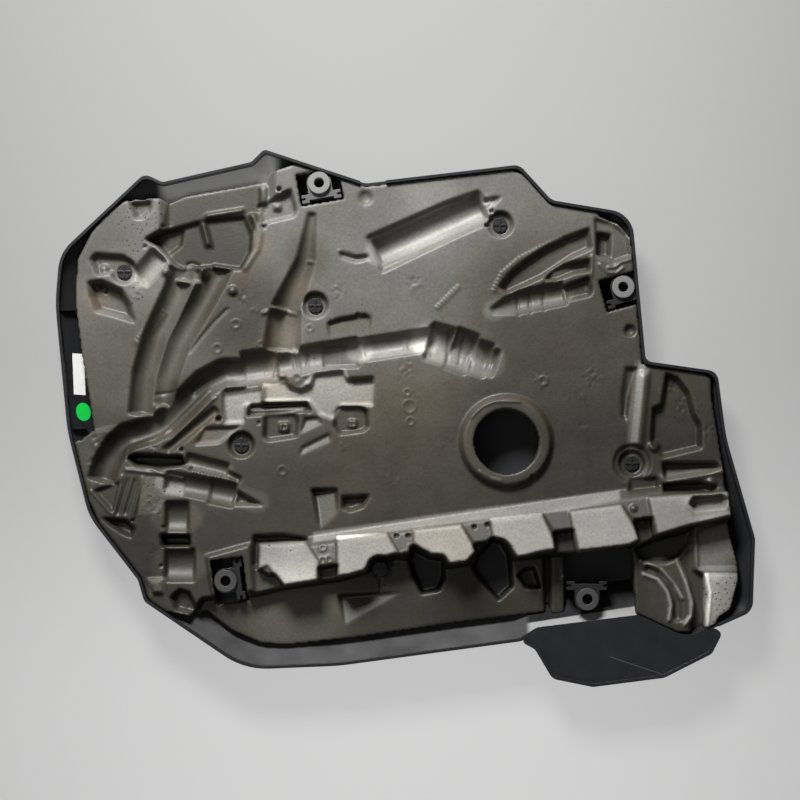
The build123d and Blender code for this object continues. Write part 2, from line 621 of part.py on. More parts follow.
def clip(x, y):
    """Push-in clip: a cross-ribbed head on a shank that grips its post."""
    seat = FOAM_FACE - CLIP_SINK
    post_top = SHELL_WALL + POST_HEIGHT
    shank_low = post_top - CLIP_GRIP
    base = (Align.CENTER, Align.CENTER, Align.MIN)
    head = Pos(0, 0, seat) * Cylinder(CLIP_HEAD_RADIUS, CLIP_HEAD_HEIGHT, align=base)
    bar = 2 * CLIP_HEAD_RADIUS - CLIP_RIB_WIDTH
    cross = Box(bar, CLIP_RIB_WIDTH, CLIP_RIB_HEIGHT, align=base)
    cross += Box(CLIP_RIB_WIDTH, bar, CLIP_RIB_HEIGHT, align=base)
    cross = Pos(0, 0, seat + CLIP_HEAD_HEIGHT) * cross
    shank = Pos(0, 0, shank_low) * Box(CLIP_SHANK_WIDTH, CLIP_SHANK_WIDTH, seat - shank_low, align=base)
    return Pos(x, y, 0) * (head + cross + shank)


def clip_cutters(x, y):
    """Counterbore for a clip's head, and a square hole with room for the shell's post."""
    width = POST_WIDTH + 2 * POST_ROOM
    return [cup(x, y, CLIP_POCKET_RADIUS, CLIP_SINK), Pos(x, y, 0) * Box(width, width, 2 * FOAM_FACE)]


def flank_frame(place, inset):
    """Plane on the inner face of the left shoulder, at a height on the photo's left edge."""
    foot = Vector(*FLANK_FOOT)
    head = Vector(*FLANK_HEAD)
    along = (head - foot).normalized()
    inward = Vector(along.Y, -along.X)
    edge_point = foot + along * ((place - foot.Y) / along.Y)
    drop = (inset - SHELL_WALL) * SHOULDER_RISE / SHOULDER_RUN
    height = SHOULDER_RISE + SHELL_WALL - drop
    normal = inward * SHOULDER_RISE + Vector(0, 0, SHOULDER_RUN)
    return Plane(origin=edge_point + inward * inset + Vector(0, 0, height), x_dir=along, z_dir=normal)


def sticker(outline, place, inset):
    """Thin sticker on the left flank."""
    frame = flank_frame(place, inset)
    return extrude(frame.offset(STICKER_GAP) * outline, STICKER_THICKNESS)


def flank_ribs(cavity):
    """Thin ribs across the left shoulder."""
    layer = cavity - dish(SHELL_WALL + FLANK_RIB_HEIGHT)
    ribs = []
    for place in FLANK_RIBS:
        frame = flank_frame(place, SHOULDER_RUN / 4)
        ribs.append(frame * Box(FLANK_RIB_WIDTH, SHOULDER_RUN / 2, SHOULDER_RUN) & layer)
    return ribs


def tongue():
    """Lobe at the lower right with its own rim, one with the shell."""
    face = SHELL_DEPTH - TONGUE_DROP
    inner_root = [(x, y + SHOULDER_RUN) for x, y in TONGUE_ROOT]
    radii = [TONGUE_RADIUS] * len(TONGUE_EDGE + TONGUE_ROOT)
    plate = rounded_prism(TONGUE_EDGE + TONGUE_ROOT, radii, [(face - SHELL_WALL, 0), (SHELL_DEPTH, 0)])
    scoop = rounded_prism(TONGUE_EDGE + inner_root, radii, [(face, SHELL_WALL), (CUT_TOP, SHELL_WALL)])
    return plate, scoop


def shell():
    """Dish with its tongue, flank ribs, rim notch and clip posts."""
    cavity = dish(SHELL_WALL)
    plate, scoop = tongue()
    solid = (Part() + dish(0) + plate) - cavity - scoop
    notch = Box(NOTCH_WIDTH, 4 * SHELL_WALL, 2 * NOTCH_DEPTH)
    solid -= Pos(*NOTCH, SHELL_DEPTH) * Rot(0, 0, NOTCH_TURN) * notch
    solid += flank_ribs(cavity)
    base = (Align.CENTER, Align.CENTER, Align.MIN)
    hole_width = CLIP_SHANK_WIDTH + 2 * POST_CLEARANCE
    hole_floor = SHELL_WALL + POST_HEIGHT - CLIP_GRIP - POST_CLEARANCE
    post_length = POST_HEIGHT + SHELL_WALL / 2
    for x, y in CLIPS:
        solid += Pos(x, y, SHELL_WALL / 2) * Box(POST_WIDTH, POST_WIDTH, post_length, align=base)
        solid -= Pos(x, y, hole_floor) * Box(hole_width, hole_width, SHELL_DEPTH, align=base)
    return solid


def foam(cavity):
    """Liner that fills the dish, with the engine's imprint in its face."""
    blank = prism(FOAM_PLAN, [(0, 0), (FOAM_FACE, 0)]) & cavity
    blank = blank.fuse(*raised_pads(), *ridge(), *filler_collar())
    cutters = [
        *lower_step(), *manifold_recesses(), *corner_recesses(), *canister_recess(), *leaf_recesses(),
        *tee_recesses(), *plate_recesses(), *left_hose_recesses(), *left_edge_recesses(),
        *field_recesses(), *right_lobe_recesses(), cup(*FILLER, FILLER_RADIUS, FOAM_FACE),
    ]
    for name in BRACKETS:
        room = prism(bracket_outline(BRACKET_ROOM), [(0, 0), (CUT_TOP, 0)])
        cutters.append(bracket_place(name) * room)
    for x, y in CLIPS:
        cutters += clip_cutters(x, y)
    liner = blank.cut(*cutters)
    return liner.fuse(*manifold_ribs(), *plate_bosses())


def build():
    """Every piece of the cover, by node name."""
    bracket_cavity = dish(SHELL_WALL + BRACKET_GAP)
    label = Rot(0, 0, LABEL_TURN) * Rectangle(LABEL_LENGTH, LABEL_WIDTH)
    pieces = {
        "cover_shell": shell(),
        "foam_liner": foam(dish(SHELL_WALL + FOAM_GAP, straight_sided=True)),
        "part_label": sticker(label, LABEL_PLACE, LABEL_INSET),
        "inspection_dot": sticker(Circle(DOT_RADIUS), DOT_PLACE, DOT_INSET),
    }
    for name in BRACKETS:
        pieces["grommet_bracket_" + name] = bracket(name, bracket_cavity)
        pieces["grommet_" + name] = grommet(name)
    for number, (x, y) in enumerate(CLIPS, 1):
        pieces[f"foam_clip_{number}"] = clip(x, y)
    return pieces


def main():
    """Centre the cover on its box and write one file for each piece."""
    os.makedirs("parts", exist_ok=True)
    pieces = build()
    middle = pieces["cover_shell"].bounding_box().center()
    for name, piece in pieces.items():
        export_step(Pos(-middle.X, -middle.Y, 0) * piece, f"parts/{name}.step")


main()
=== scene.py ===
import math

import bpy
import numpy as np
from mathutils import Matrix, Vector
from mathutils.bvhtree import BVHTree


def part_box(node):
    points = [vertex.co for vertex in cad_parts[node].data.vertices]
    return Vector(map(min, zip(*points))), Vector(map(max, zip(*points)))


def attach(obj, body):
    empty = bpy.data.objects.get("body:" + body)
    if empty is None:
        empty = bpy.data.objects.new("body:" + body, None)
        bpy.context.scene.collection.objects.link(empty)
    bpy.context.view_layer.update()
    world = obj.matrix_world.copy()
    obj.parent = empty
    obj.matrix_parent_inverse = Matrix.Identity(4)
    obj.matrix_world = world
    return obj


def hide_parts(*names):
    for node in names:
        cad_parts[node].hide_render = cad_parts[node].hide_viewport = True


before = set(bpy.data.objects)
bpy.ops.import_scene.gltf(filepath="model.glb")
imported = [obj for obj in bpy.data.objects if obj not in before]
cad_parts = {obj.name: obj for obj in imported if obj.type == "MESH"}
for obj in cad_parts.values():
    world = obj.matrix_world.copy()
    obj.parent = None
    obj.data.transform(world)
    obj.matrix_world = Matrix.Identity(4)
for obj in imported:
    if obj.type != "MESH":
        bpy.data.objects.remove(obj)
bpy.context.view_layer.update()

# Lengths and places are in millimetres unless a comment says otherwise.
# Places on the foam are given as drawn in the part's source; the frame is moved by this shift.
MM = 0.001
DRAWING_SHIFT = (-0.25, 0.55)

# Camera: the photo is taken almost straight down; the tilt is in degrees
VIEW_TARGET = (-3.97, 15.4, 44.0)
VIEW_TILT = 4.0
VIEW_DISTANCE = 2200.0
VIEW_WIDTH = 744.0
VIEW_END = 20000.0

# Floor and lights: sizes and places in metres, power in watts
FLOOR_SIZE = 60.0
FLOOR_PLACE = (0, 0, -0.0005)
KEY_PLACE = (-0.42, 1.3, 1.36)
KEY_TARGET = (0, 0, 0.03)
KEY_SIZE = 0.55
KEY_POWER = 54.0
FILL_PLACE = (-0.9, -0.9, 1.8)
FILL_TARGET = (0, 0, 0)
FILL_SIZE = 1.8
FILL_POWER = 6.0
SKY_COLOUR = (0.065, 0.065, 0.065, 1.0)

# Floor as the camera sees it: its level rises towards the front, and falls to the sides by the square
# of x in metres up to a limit; this rise and fall are painted light.
FLOOR_COLOUR = (0.5, 0.5, 0.49, 1.0)
FLOOR_ROUGHNESS = 0.9
FLOOR_LEVEL = 0.53
FLOOR_LIFT = 0.2
FLOOR_LIFT_Y = (100.0, -300.0)
FLOOR_FALL = 0.9
FLOOR_FALL_MOST = 0.14
FLOOR_GLOW_SHARE = 0.74

# Noise, in waves per metre
CLOUD_WAVES = 45.0
GRAIN_WAVES = 900.0
SPREAD_WAVES = 70.0
# Waves of the painted sheen on the shell's lower slope
LOWER_SHEEN_WAVES = 25.0
SCUFF_WAVES = 160.0
SMUDGE_WAVES = 120.0
FIBRE_WAVES = 1500.0
FOAM_FINE_WAVES = 420.0
FOAM_CLOUD_WAVES = 16.0
FOAM_SHEEN_WAVES = 60.0
PEBBLE_WAVES = 400.0
PORE_WAVES = 200.0

# Plastic and rubber: how far the colour varies, how much the roughness spreads, and the colours
CLOUD_DARKEST = 0.7
CLOUD_LIGHTEST = 1.35
ROUGHNESS_SPREAD = 0.2
GRAIN_STRENGTH = 0.5
BEVEL_SAMPLES = 6
RUBBER_COLOUR = (0.05, 0.05, 0.049)
# Rubber is painted lighter towards the cover's upper edge, a painted light: limits in y and the lighter
# colour
RUBBER_LIGHT_Y = (-100.0, 250.0)
RUBBER_PAINTED_LIGHT_COLOUR = (0.24, 0.24, 0.235)
BRACKET_COLOUR = (0.009, 0.009, 0.01)
# The upper-left bracket's colour: a lighter copy of the bracket plastic, a painted light
BRACKET_PAINTED_LIGHT_COLOUR = (0.1, 0.1, 0.1)
CLIP_COLOUR = (0.011, 0.011, 0.011)

# Shell: limits of the normal's part along an axis, and places in the frame; a third value is the softness
FLAT_FACING = (0.9, 0.95)
SLOPE_FACING = (0.45, 0.9, 0.05)
LOWER_FACING = (0.3, 0.5)
INSIDE_RISE = (1.0, 4.0)
SHELL_FLOOR_TOP = (6.0, 5.0)
UPPER_SLOPE_X = (-228.0, -120.0, 6.0)
UPPER_SLOPE_Y = (190.0, 200.0)
LOWER_SLOPE_Y = (-150.0, -190.0)
DARK_END_X = (112.0, 118.0)
STRIP_TILT = 0.156
STRIP_LIMITS = (-219.0, -209.5, 0.8)
TONGUE_HEIGHT = (36.0, 38.0)
SCUFF_Y = (-225.0, -243.0)
SCRATCH_ACROSS = (0.316, 0.949)
SCRATCH_LIMITS = (-151.2, -150.6, 0.3)
SCRATCH_X = (190.0, 238.0, 4.0)
SHELL_DARK = (0.011, 0.0114, 0.013)
SHELL_LIGHT = (0.024, 0.0247, 0.028)
# Painted light on the shell's low floor, which lies in shade
SHELL_FLOOR_PAINTED_LIGHT = (0.034, 0.035, 0.038)
# Painted reflection on the shell's upper inner slope
UPPER_REFLECTION_COLOUR = (0.9, 0.9, 0.905)
DARK_END_COLOUR = (0.012, 0.0125, 0.014)
# Pale strip at the right end: a painted reflection
REFLECTION_STRIP_COLOUR = (0.36, 0.36, 0.355)
SCUFF_COLOUR = (0.14, 0.14, 0.145)
SCRATCH_COLOUR = (0.09, 0.09, 0.095)
# Painted sheen on the shell's lower inner slope, as stops of a ramp
LOWER_SHEEN_STOPS = [(0.35, 0.053), (0.65, 0.09)]
SCUFF_STOPS = [(0.6, 0.0), (0.72, 0.35)]
SHELL_ROUGHNESS = 0.27
SHELL_SPECULAR = 0.3
SHELL_GRAIN = 0.04
SHELL_EDGE = 0.5

# Stickers
LABEL_COLOUR = (1.0, 1.0, 0.97)
DOT_COLOUR = (0.004, 0.72, 0.08)
SMUDGE_STOPS = [(0.35, 0.93), (0.65, 1.0)]
PAPER_ROUGHNESS = 0.55
FIBRE_HEIGHT = 0.05
FIBRE_STRENGTH = 0.4

# Foam's material: tints of dark and bright skin, mottle, specks, stains, gloss, grain and pebbles
TINT_TONES = (0.05, 0.14)
DARK_TINT = (1.1, 1.0, 0.76)
BRIGHT_TINT = (1.02, 1.0, 0.92)
MOTTLE_STOPS = [(0.3, 0.82), (0.7, 1.16)]
SPECK_STOPS = [(0.32, 0.7), (0.68, 1.28)]
SPECK_SHARE = 0.6
AMBER_TINT = (1.35, 1.0, 0.55)
SHEEN_STOPS = [(0.3, 0.36), (0.7, 0.48)]
PEBBLE_DULLNESS = 0.4
FOAM_SPECULAR = 0.5
FOAM_GRAIN = 0.15
FOAM_GRAIN_STRENGTH = 0.7
PEBBLE_HEIGHT = 0.8
PEBBLE_STRENGTH = 0.9
# Pores are painted near black, a painted shade for their small pits
PORE_SHADE_COLOUR = (0.004, 0.004, 0.004)
PORE_MOST = 0.6
PORE_EDGE = (0.17, 0.1)

# Grid of the foam's surface with a margin in cells, and how the CAD foam is measured: beside a steep step
# at several places, in shares of a cell
CELL = 1.2
MARGIN_CELLS = 2
EDGE_STEP = 1.0
SUB_PLACES = (-0.33, 0.0, 0.33)
RAY_TOP = 200.0
RAY_BOTTOM = -100.0
BESIDE_FOAM = -100.0

# Softening of the foam's edges and of the outlines drawn on it, reach of a blur in sigmas, and the least
# cover that is divided by
EDGE_SOFTNESS = 0.9
MASK_SOFTNESS = 1.2
BLUR_REACH = 3
LEAST_COVER = 1e-6

# The foam's own outline: how it drops where foam covers less of a cell, and how its corners move
EDGE_DROP = 2.5
DROP_START = 0.98
LEAST_STEEPNESS = 1e-4
BORDER_BLUR = 0.6
WHOLE = 0.999
MOST_MOVE = 0.9

# Gap round the clips' heads, and height of the walls at the outline
CLIP_GAP = 0.6
LEAST_WALL = 0.5
USUAL_WALL = 12.0

# Squares of the mesh, in cells; how far a large one may leave the surface; how much its tone counts;
# and the bend that keeps cells near the outline single, with the blur in cells that finds them
SQUARE_SIZES = (8, 4, 2, 1)
FLATNESS = 0.06
TONE_WEIGHT = 0.3
BORDER_BEND = 1.0
BEND_BLUR = 1.0

# Fine relief: a ring with a dip in its middle, and the grain of rough spots
RING_RISE = 0.55
RING_WIDTH = 0.8
RING_DIP = 0.4
RING_DIP_SHARE = 0.5
ROUGH_GAIN = 0.22
ROUGH_SHARE = 0.8
GRAIN_SEED = 3
GRAIN_SIZE = 1.0

# How steeply a mark fades out at its radius or half width
GENTLE = 2
FIRM = 4
STEEP = 8

# Hollows get painted shade, by a share for each millimetre; slopes that face the upper edge get painted
# light, and those that face the lower edge painted shade, less so at the foam's outline
CAVITY_REACH = 7.0
CAVITY_SHARE = 0.04
CAVITY_LIMITS = (0.55, 1.1)
PAINTED_LIGHT_SHARE = 0.85
PAINTED_SHADE_SHARE = 0.95
PAINTED_SHADE_LEAST = 0.2
PAINTED_LIGHT_FADE = 10
LEAST_PEBBLES = 0.12

# Grey level of the foam's skin up the face, lighter towards the upper edge as painted light and painted
# sheen: y, level
FACE_LEVELS = [
    (-230, 0.026), (-150, 0.029), (-60, 0.036), (-10, 0.049), (40, 0.083), (110, 0.113), (230, 0.13),
]

# Painted shade: it darkens to the right between two places by a share, which applies in part up the face: y,
# part
RIGHT_START = 10.0
RIGHT_END = 112.0
RIGHT_SHARE = 0.61
RIGHT_REACH = [(-120, 0.2), (-60, 0.45), (-20, 0.85), (130, 1.0), (200, 0.1)]

# Broad zones of painted shade where the gain is below 1 and painted light where it is above 1: x, y, radius,
# gain
PAINTED_SHADE_AND_LIGHT_ZONES = [
    (-155, 95, 50, 0.37), (-226, 80, 30, 0.75), (-250, -125, 50, 0.48), (-270, 60, 40, 0.78),
    (60, -178, 40, 0.5), (-92, 150, 22, 0.56), (-200, 15, 25, 0.5), (-258, -22, 22, 0.45),
    (30, 178, 45, 1.3), (290, -120, 24, 5.0), (-100, -185, 50, 2.9), (-113, 80, 18, 2.2),
    (262, -160, 38, 1.7), (-190, 160, 34, 0.7), (-290, 170, 40, 0.8), (20, 215, 26, 1.25),
    (-100, -70, 34, 0.85), (95, -24, 37, 1.7), (-60, 190, 26, 0.86),
]

# Skin that was pressed against plain faces, pebbled; its gain is mostly a painted highlight, and below 1 a
# painted shade: outline, gain, pebbling
PLATES = [
    ([(-131, 31), (-97, 27), (-84, 40), (-55, 44), (-47, 28), (-28, 30), (-29, 10), (-58, 10), (-66, -3),
      (-80, 2), (-88, 14), (-130, 14)], 4.3, 0.8),
    ([(-168, 18), (-133, 23), (-133, 12), (-148, 10), (-149, -6), (-167, -7)], 4.2, 0.8),
    ([(-195, -27), (-186, -10), (-150, -9), (-165, -20), (-172, -25)], 2.4, 1.0),
    ([(-243, -57), (-205, -57), (-205, -76), (-222, -80), (-230, -92), (-246, -92)], 2.6, 1.0),
    ([(-238, -150), (-221, -150), (-221, -168), (-236, -168)], 3.6, 1.0),
    ([(-287, -12), (-257, -6), (-257, -12), (-287, -17)], 2.4, 1.0),
    ([(278, -146), (312, -146), (305, -190), (279, -196)], 7.2, 0.6),
    ([(-135, -119), (-93, -115), (-79, -135), (-79, -153), (-110, -158), (-126, -139),
      (-135, -143)], 4.3, 0.4),
    ([(-62, -112), (-16, -109), (-6, -127), (-20, -131), (-38, -147), (-61, -150)], 6.2, 0.4),
    ([(9, -106), (52, -101), (66, -127), (58, -136), (42, -138), (36, -130), (24, -129),
      (9, -118)], 6.3, 0.4),
    ([(80, -96), (127, -91), (140, -125), (104, -133), (96, -119), (82, -112)], 6.7, 0.4),
    ([(153, -89), (200, -83), (217, -116), (207, -121), (160, -127)], 6.3, 0.4),
    ([(226, -76), (299, -71), (301, -94), (262, -103), (232, -112)], 4.4, 0.3),
    ([(-84, -108), (60, -87), (200, -69), (200, -78), (150, -88), (60, -98), (-84, -117)], 4.8, 0.1),
    ([(-72, 88), (-60, 92), (-36, 96), (-30, 92), (-30, 75), (-71, 69)], 0.7, 1.0),
    ([(-103, 187), (-134, 181), (-136, 198), (-122, 205), (-106, 212)], 1.25, 0.3),
]

# Paths that are both raised and painted with highlights, and the column at the right, which only has a
# painted highlight
INNER_LOBE_ARC = [(222, -147), (235, -152), (244, -164), (247, -176), (245, -189)]
MIDDLE_LOBE_ARC = [(220, -134), (238, -143), (250, -157), (257, -169)]
OUTER_LOBE_ARC = [(254, -134), (261, -152), (266, -171), (266, -185), (260, -193)]
LOBE_PAD_EDGE = [(280, -148), (283.5, -164), (282, -178), (280, -194)]
GROOVE_RIDGE = [(243, -58), (262, -56), (278, -52), (294, -50)]
RIGHT_COLUMN = [(221, 46), (213, -34)]

# Painted highlights along round parts and ridges: path, half width, gain
PAINTED_HIGHLIGHT_RUNS = [
    ([(-150, 43), (-118, 47), (-98, 52), (-42, 62)], 13, 1.75),
    ([(-44, 61), (24, 72)], 10.5, 2.1),
    ([(23, 70.5), (44, 64.5), (78, 52)], 17, 2.3),
    ([(-25, 153), (74, 197)], 12, 1.9),
    ([(84, 99), (104, 106), (150, 115.5)], 10, 2.0),
    ([(-222, -61), (-178, -68.5), (-135, -80)], 10, 2.0),
    ([(-203, -41), (-164, -51)], 6.5, 2.0),
    ([(-247, 128), (-228, 151)], 10, 1.8),
    ([(-221, -94.5), (-200, -94.5)], 14, 2.0),
    ([(-221, -138), (-194, -138)], 14, 2.0),
    (RIGHT_COLUMN, 7, 2.4),
    (RIGHT_COLUMN, 3.6, 2.4),
    (GROOVE_RIDGE, 4, 2.4),
    (INNER_LOBE_ARC, 2.0, 4.6),
    (MIDDLE_LOBE_ARC, 2.0, 4.6),
    (OUTER_LOBE_ARC, 2.4, 4.6),
    (LOBE_PAD_EDGE, 2.0, 2.2),
]

# Painted shade in hollows: outline, gain
PAINTED_SHADE_HOLLOWS = [
    ([(-222, 202), (-136, 219), (-128, 200), (-141, 173), (-142, 155), (-152, 137), (-207, 137),
      (-233, 160), (-243, 166), (-228, 176)], 0.38),
    ([(8, -121), (24, -130), (38, -132), (38, -150), (33, -162), (16, -165), (9, -150), (4, -134)], 0.12),
    ([(82, -114), (92, -116), (99, -128), (102, -158), (88, -171), (74, -156), (64, -141),
      (69, -128)], 0.12),
    ([(105, -148), (113, -141), (122, -140), (128, -160), (113, -160)], 0.2),
    ([(-259, -38), (-250, -35), (-206, -37), (-203, -46), (-228, -49), (-250, -46)], 0.5),
    ([(-34, -142), (-30, -133), (-22, -130), (-14, -133), (-10, -142), (-14, -151), (-22, -154),
      (-30, -151)], 0.2),
]

# Small rings in the skin: x, y, radius
RINGS = [
    (-157, 86, 4), (-174, 63, 4), (-133, 67, 3), (-88, 82, 3), (3, 22, 3), (5, 9, 6), (6, -5, 3.5),
    (-113, -51, 4), (-177, 18, 3), (-100, 36, 4), (-91, 34, 4), (-237, -76, 3), (-237, -84, 4),
    (-75, -134, 3), (-69, -133, 3), (-75, -122, 3), (1, -128, 3), (6, -122, 2.5), (72, -122, 3),
    (146, -110, 3), (219, -98, 3), (226, -98, 3), (-75, -153, 3.5), (44, -138, 3), (108, -131, 3),
    (130, 33, 4), (-10, -136, 4),
]

# Holes and dimples: x, y, radius, depth
HOLES = [
    (-131, 178.5, 2.2, 8), (-117, 213, 2, 6), (-136, 198, 1.4, 4), (77, 202, 2.2, 6), (82, 192.5, 2.2, 6),
    (77, 179, 2, 6), (-43, 95, 1.6, 4), (-173, -2.5, 2.6, 8), (-226, 178, 2, 3), (-242, 159, 1.6, 3),
    (-36, 205, 6, 3), (-207, -31, 1.8, 5), (-198, -49, 1.8, 5), (-284, 122, 1.6, 4), (-280, 118, 1.6, 4),
    (-7, -111, 1.6, 4), (4, -111, 1.6, 4), (65, -103, 1.6, 4), (77, -101, 1.6, 4), (212, -42, 2, 2),
    (119, -57, 2, 4), (-252, -97, 1.6, 3), (-223, -103, 1.4, 3), (-225, -139, 1.4, 3), (-135, -6, 1.4, 3),
    (-112, -10, 2.6, 3), (-48, -7, 2.6, 3),
]

# Knobs: x, y, radius, height
KNOBS = [
    (-222, 135, 4, 4), (-187, 134, 4.5, 4), (233, -28, 5, 5), (285, -63, 5, 3), (-160, 117, 4, 4),
    (212, -86, 3, 2), (148.5, -150, 1.5, 2), (175.5, -147, 1.5, 2), (-281, 138, 4, 4),
]

# Raised lines, and grooves where the height is below 0: path, half width, height
LINES = [
    ([(-182, 25), (-225, -17), (-258, -30), (-264, -46)], 1.6, 2.2),
    ([(-176, 17), (-218, -24)], 1.3, 1.6),
    ([(-197, 25), (-172, 42)], 4.0, -3.0),
    ([(-232, 21), (-210, 24)], 1.2, -1.6),
    ([(-165, 100), (-178, 87), (-200, 60)], 1.4, -1.4),
    ([(-232, 159), (-217, 141), (-207, 139)], 1.6, 2.0),
    ([(-203, 144), (-199, 145), (-194, 143)], 1.3, -1.6),
    ([(217, 148), (203, 144), (197, 139), (191, 139)], 1.3, 1.5),
    ([(205, 139), (199, 134), (190, 134), (183, 142)], 1.3, 1.5),
    ([(25, 84), (26, 56)], 1.6, -2.0),
    ([(43, 79), (40, 50)], 1.6, -2.0),
    ([(56, 75), (51, 47)], 1.4, -1.2),
    ([(66, 70), (62, 43)], 1.4, -1.2),
    ([(107, 117), (107, 95)], 1.1, -1.6),
    ([(118, 120), (118, 97)], 1.1, -1.6),
    ([(131, 124), (131, 100)], 1.1, -1.6),
    ([(-118, 62), (-121, 38)], 1.4, 1.8),
    ([(-104, 64), (-101, 40)], 1.3, 1.8),
    ([(-88, 66), (-91, 44)], 1.2, -1.2),
    ([(-77, 68), (-74, 46)], 1.2, -2.0),
    ([(-40, 70), (-37, 52)], 1.4, 2.0),
    ([(0, 76), (2, 60)], 1.2, 1.2),
    ([(-131, 96), (-120, 101), (-101, 96)], 1.6, 2.0),
    ([(-290, -70), (-272, -90)], 1.4, 1.6),
    ([(-262, -56), (-271, -95)], 1.2, 1.6),
    ([(-243, -57), (-252, -96)], 1.2, 1.6),
    ([(70, -52), (80, -58), (90, -61)], 1.2, 1.0),
    ([(62, -2), (72, 8), (84, 13), (108, 13)], 1.2, 1.0),
    ([(-258, -50), (-240, -52), (-205, -57)], 1.5, 1.8),
    ([(-245, -44), (-228, -52), (-206, -58)], 1.5, 1.8),
    (INNER_LOBE_ARC, 1.6, 2.6),
    (MIDDLE_LOBE_ARC, 1.6, 2.6),
    (OUTER_LOBE_ARC, 1.8, 2.8),
    (LOBE_PAD_EDGE, 1.6, 2.4),
    (GROOVE_RIDGE, 4.5, 3.0),
    ([(268, -81), (294, -78.5)], 6.5, 4.5),
    ([(172, 118), (175, 132), (176, 150)], 1.3, 1.2),
    ([(-61, 155), (-50, 151), (-36, 151)], 1.0, 1.0),
    ([(-22, -152), (-22, -163)], 0.9, -2.0),
    ([(-140, 5), (-94, 7)], 3.6, 8.0),
]

# Rows of fine teeth: path, pitch, half width, height
TEETH = [
    ([(-224, 100), (-235, 86), (-248, 70)], 3.4, 4.0, 1.3),
    ([(83, 116), (92, 133), (108, 147), (130, 158), (150, 166)], 3.6, 2.6, 1.2),
    ([(30, 100), (40, 110), (50, 120)], 3.4, 2.6, 1.2),
    ([(-198, -51), (-184, -53), (-170, -56)], 3.2, 3.0, 1.3),
    ([(-150, 37), (-128, 40), (-112, 40)], 3.4, 1.5, 0.8),
]

# Rough spots: x, y, radius, height
ROUGH_SPOTS = [
    (-62, 116, 9, 1.2), (10, 125, 9, 1.1), (-150, 112, 8, 1.0), (128, 33, 9, 0.9), (175, 36, 14, 0.6),
    (-250, 116, 8, 1.2), (-285, -25, 9, 1.6), (-288, -45, 8, 1.4), (-283, -62, 8, 1.2), (-232, -33, 8, 1.4),
    (-228, -84, 14, 0.9), (-206, -118, 8, 1.0), (-230, -130, 7, 0.8), (-205, -178, 9, 0.8), (2, 45, 12, 0.7),
    (-60, -30, 10, 0.5), (-10, -60, 14, 0.4), (168, -8, 6, 0.6), (165, 18, 6, 0.6), (120, 125, 8, 0.6),
    (262, 12, 12, 0.8), (250, 30, 10, 0.7), (285, -15, 10, 0.7), (-140, 100, 6, 0.8), (60, 40, 8, 0.4),
]

# Amber stains: x, y, radius, strength
STAINS = [
    (-113, 78, 20, 0.35), (-290, 108, 13, 0.5), (-195, -14, 14, 0.5), (-178, 2, 8, 0.5), (-96, 120, 12, 0.4),
    (-134, 160, 9, 0.5), (-150, 128, 8, 0.4), (-120, 30, 16, 0.3), (0, -20, 60, 0.25), (-40, -60, 60, 0.25),
    (40, -120, 40, 0.2), (90, -190, 60, 0.25), (255, 15, 20, 0.3), (150, 60, 50, 0.15),
]

# Pores: x, y, radius of the area, share of the pores that show
PORES = [
    (-250, 180, 26, 1.0), (-280, 160, 18, 0.4), (293, -168, 22, 0.9), (-243, 112, 18, 0.5),
    (-225, -74, 20, 0.7), (180, -105, 26, 0.15), (-106, -136, 26, 0.3), (262, 8, 26, 0.5),
    (-215, -140, 26, 0.5), (-50, 60, 60, 0.25),
]


def metres(lengths):
    """Lengths in millimetres as metres."""
    return tuple(length * MM for length in lengths)


def node_material(name):
    """New material with an empty node tree, its output and its principled shader."""
    material = bpy.data.materials.new(name)
    material.use_nodes = True
    tree = material.node_tree
    tree.nodes.clear()
    output = tree.nodes.new("ShaderNodeOutputMaterial")
    shader = tree.nodes.new("ShaderNodeBsdfPrincipled")
    tree.links.new(shader.outputs["BSDF"], output.inputs["Surface"])
    return material, tree, shader


def noise(tree, waves, detail=4.0, roughness=0.55):
    """Noise texture on the object's own coordinates, in waves per metre."""
    place = tree.nodes.new("ShaderNodeTexCoord")
    texture = tree.nodes.new("ShaderNodeTexNoise")
    texture.inputs["Scale"].default_value = waves
    texture.inputs["Detail"].default_value = detail
    texture.inputs["Roughness"].default_value = roughness
    tree.links.new(place.outputs["Object"], texture.inputs["Vector"])
    return texture.outputs["Fac"]


def ramp(tree, value, stops):
    """Grey ramp; stops are position and level."""
    node = tree.nodes.new("ShaderNodeValToRGB")
    for element, (position, level) in zip(node.color_ramp.elements, stops):
        element.position = position
        element.color = (level, level, level, 1.0)
    tree.links.new(value, node.inputs["Fac"])
    return node.outputs["Color"]


def math_node(tree, operation, a, b):
    """Sum, product or other step on two values, each a socket or a number."""
    node = tree.nodes.new("ShaderNodeMath")
    node.operation = operation
    for socket, value in zip(node.inputs, (a, b)):
        if isinstance(value, (int, float)):
            socket.default_value = value
        else:
            tree.links.new(value, socket)
    return node.outputs["Value"]


def mix_colour(tree, factor, a, b, blend="MIX"):
    """Mix of two colours, each a socket or a tuple, by a socket or a number."""
    node = tree.nodes.new("ShaderNodeMix")
    node.data_type = "RGBA"
    node.blend_type = blend
    # The node has sockets of one name for each kind of data: these are the ones for colours
    colour_a, colour_b, result = node.inputs[6], node.inputs[7], node.outputs[2]
    for socket, value in zip((node.inputs["Factor"], colour_a, colour_b), (factor, a, b)):
        if isinstance(value, tuple):
            socket.default_value = (*value, 1.0)
        elif isinstance(value, (int, float)):
            socket.default_value = value
        else:
            tree.links.new(value, socket)
    return result


def stepped(tree, value, low, high):
    """Smooth step of a value from 0 at one limit to 1 at the other."""
    node = tree.nodes.new("ShaderNodeMapRange")
    node.interpolation_type = "SMOOTHSTEP"
    node.inputs["From Min"].default_value = low
    node.inputs["From Max"].default_value = high
    tree.links.new(value, node.inputs["Value"])
    return node.outputs["Result"]


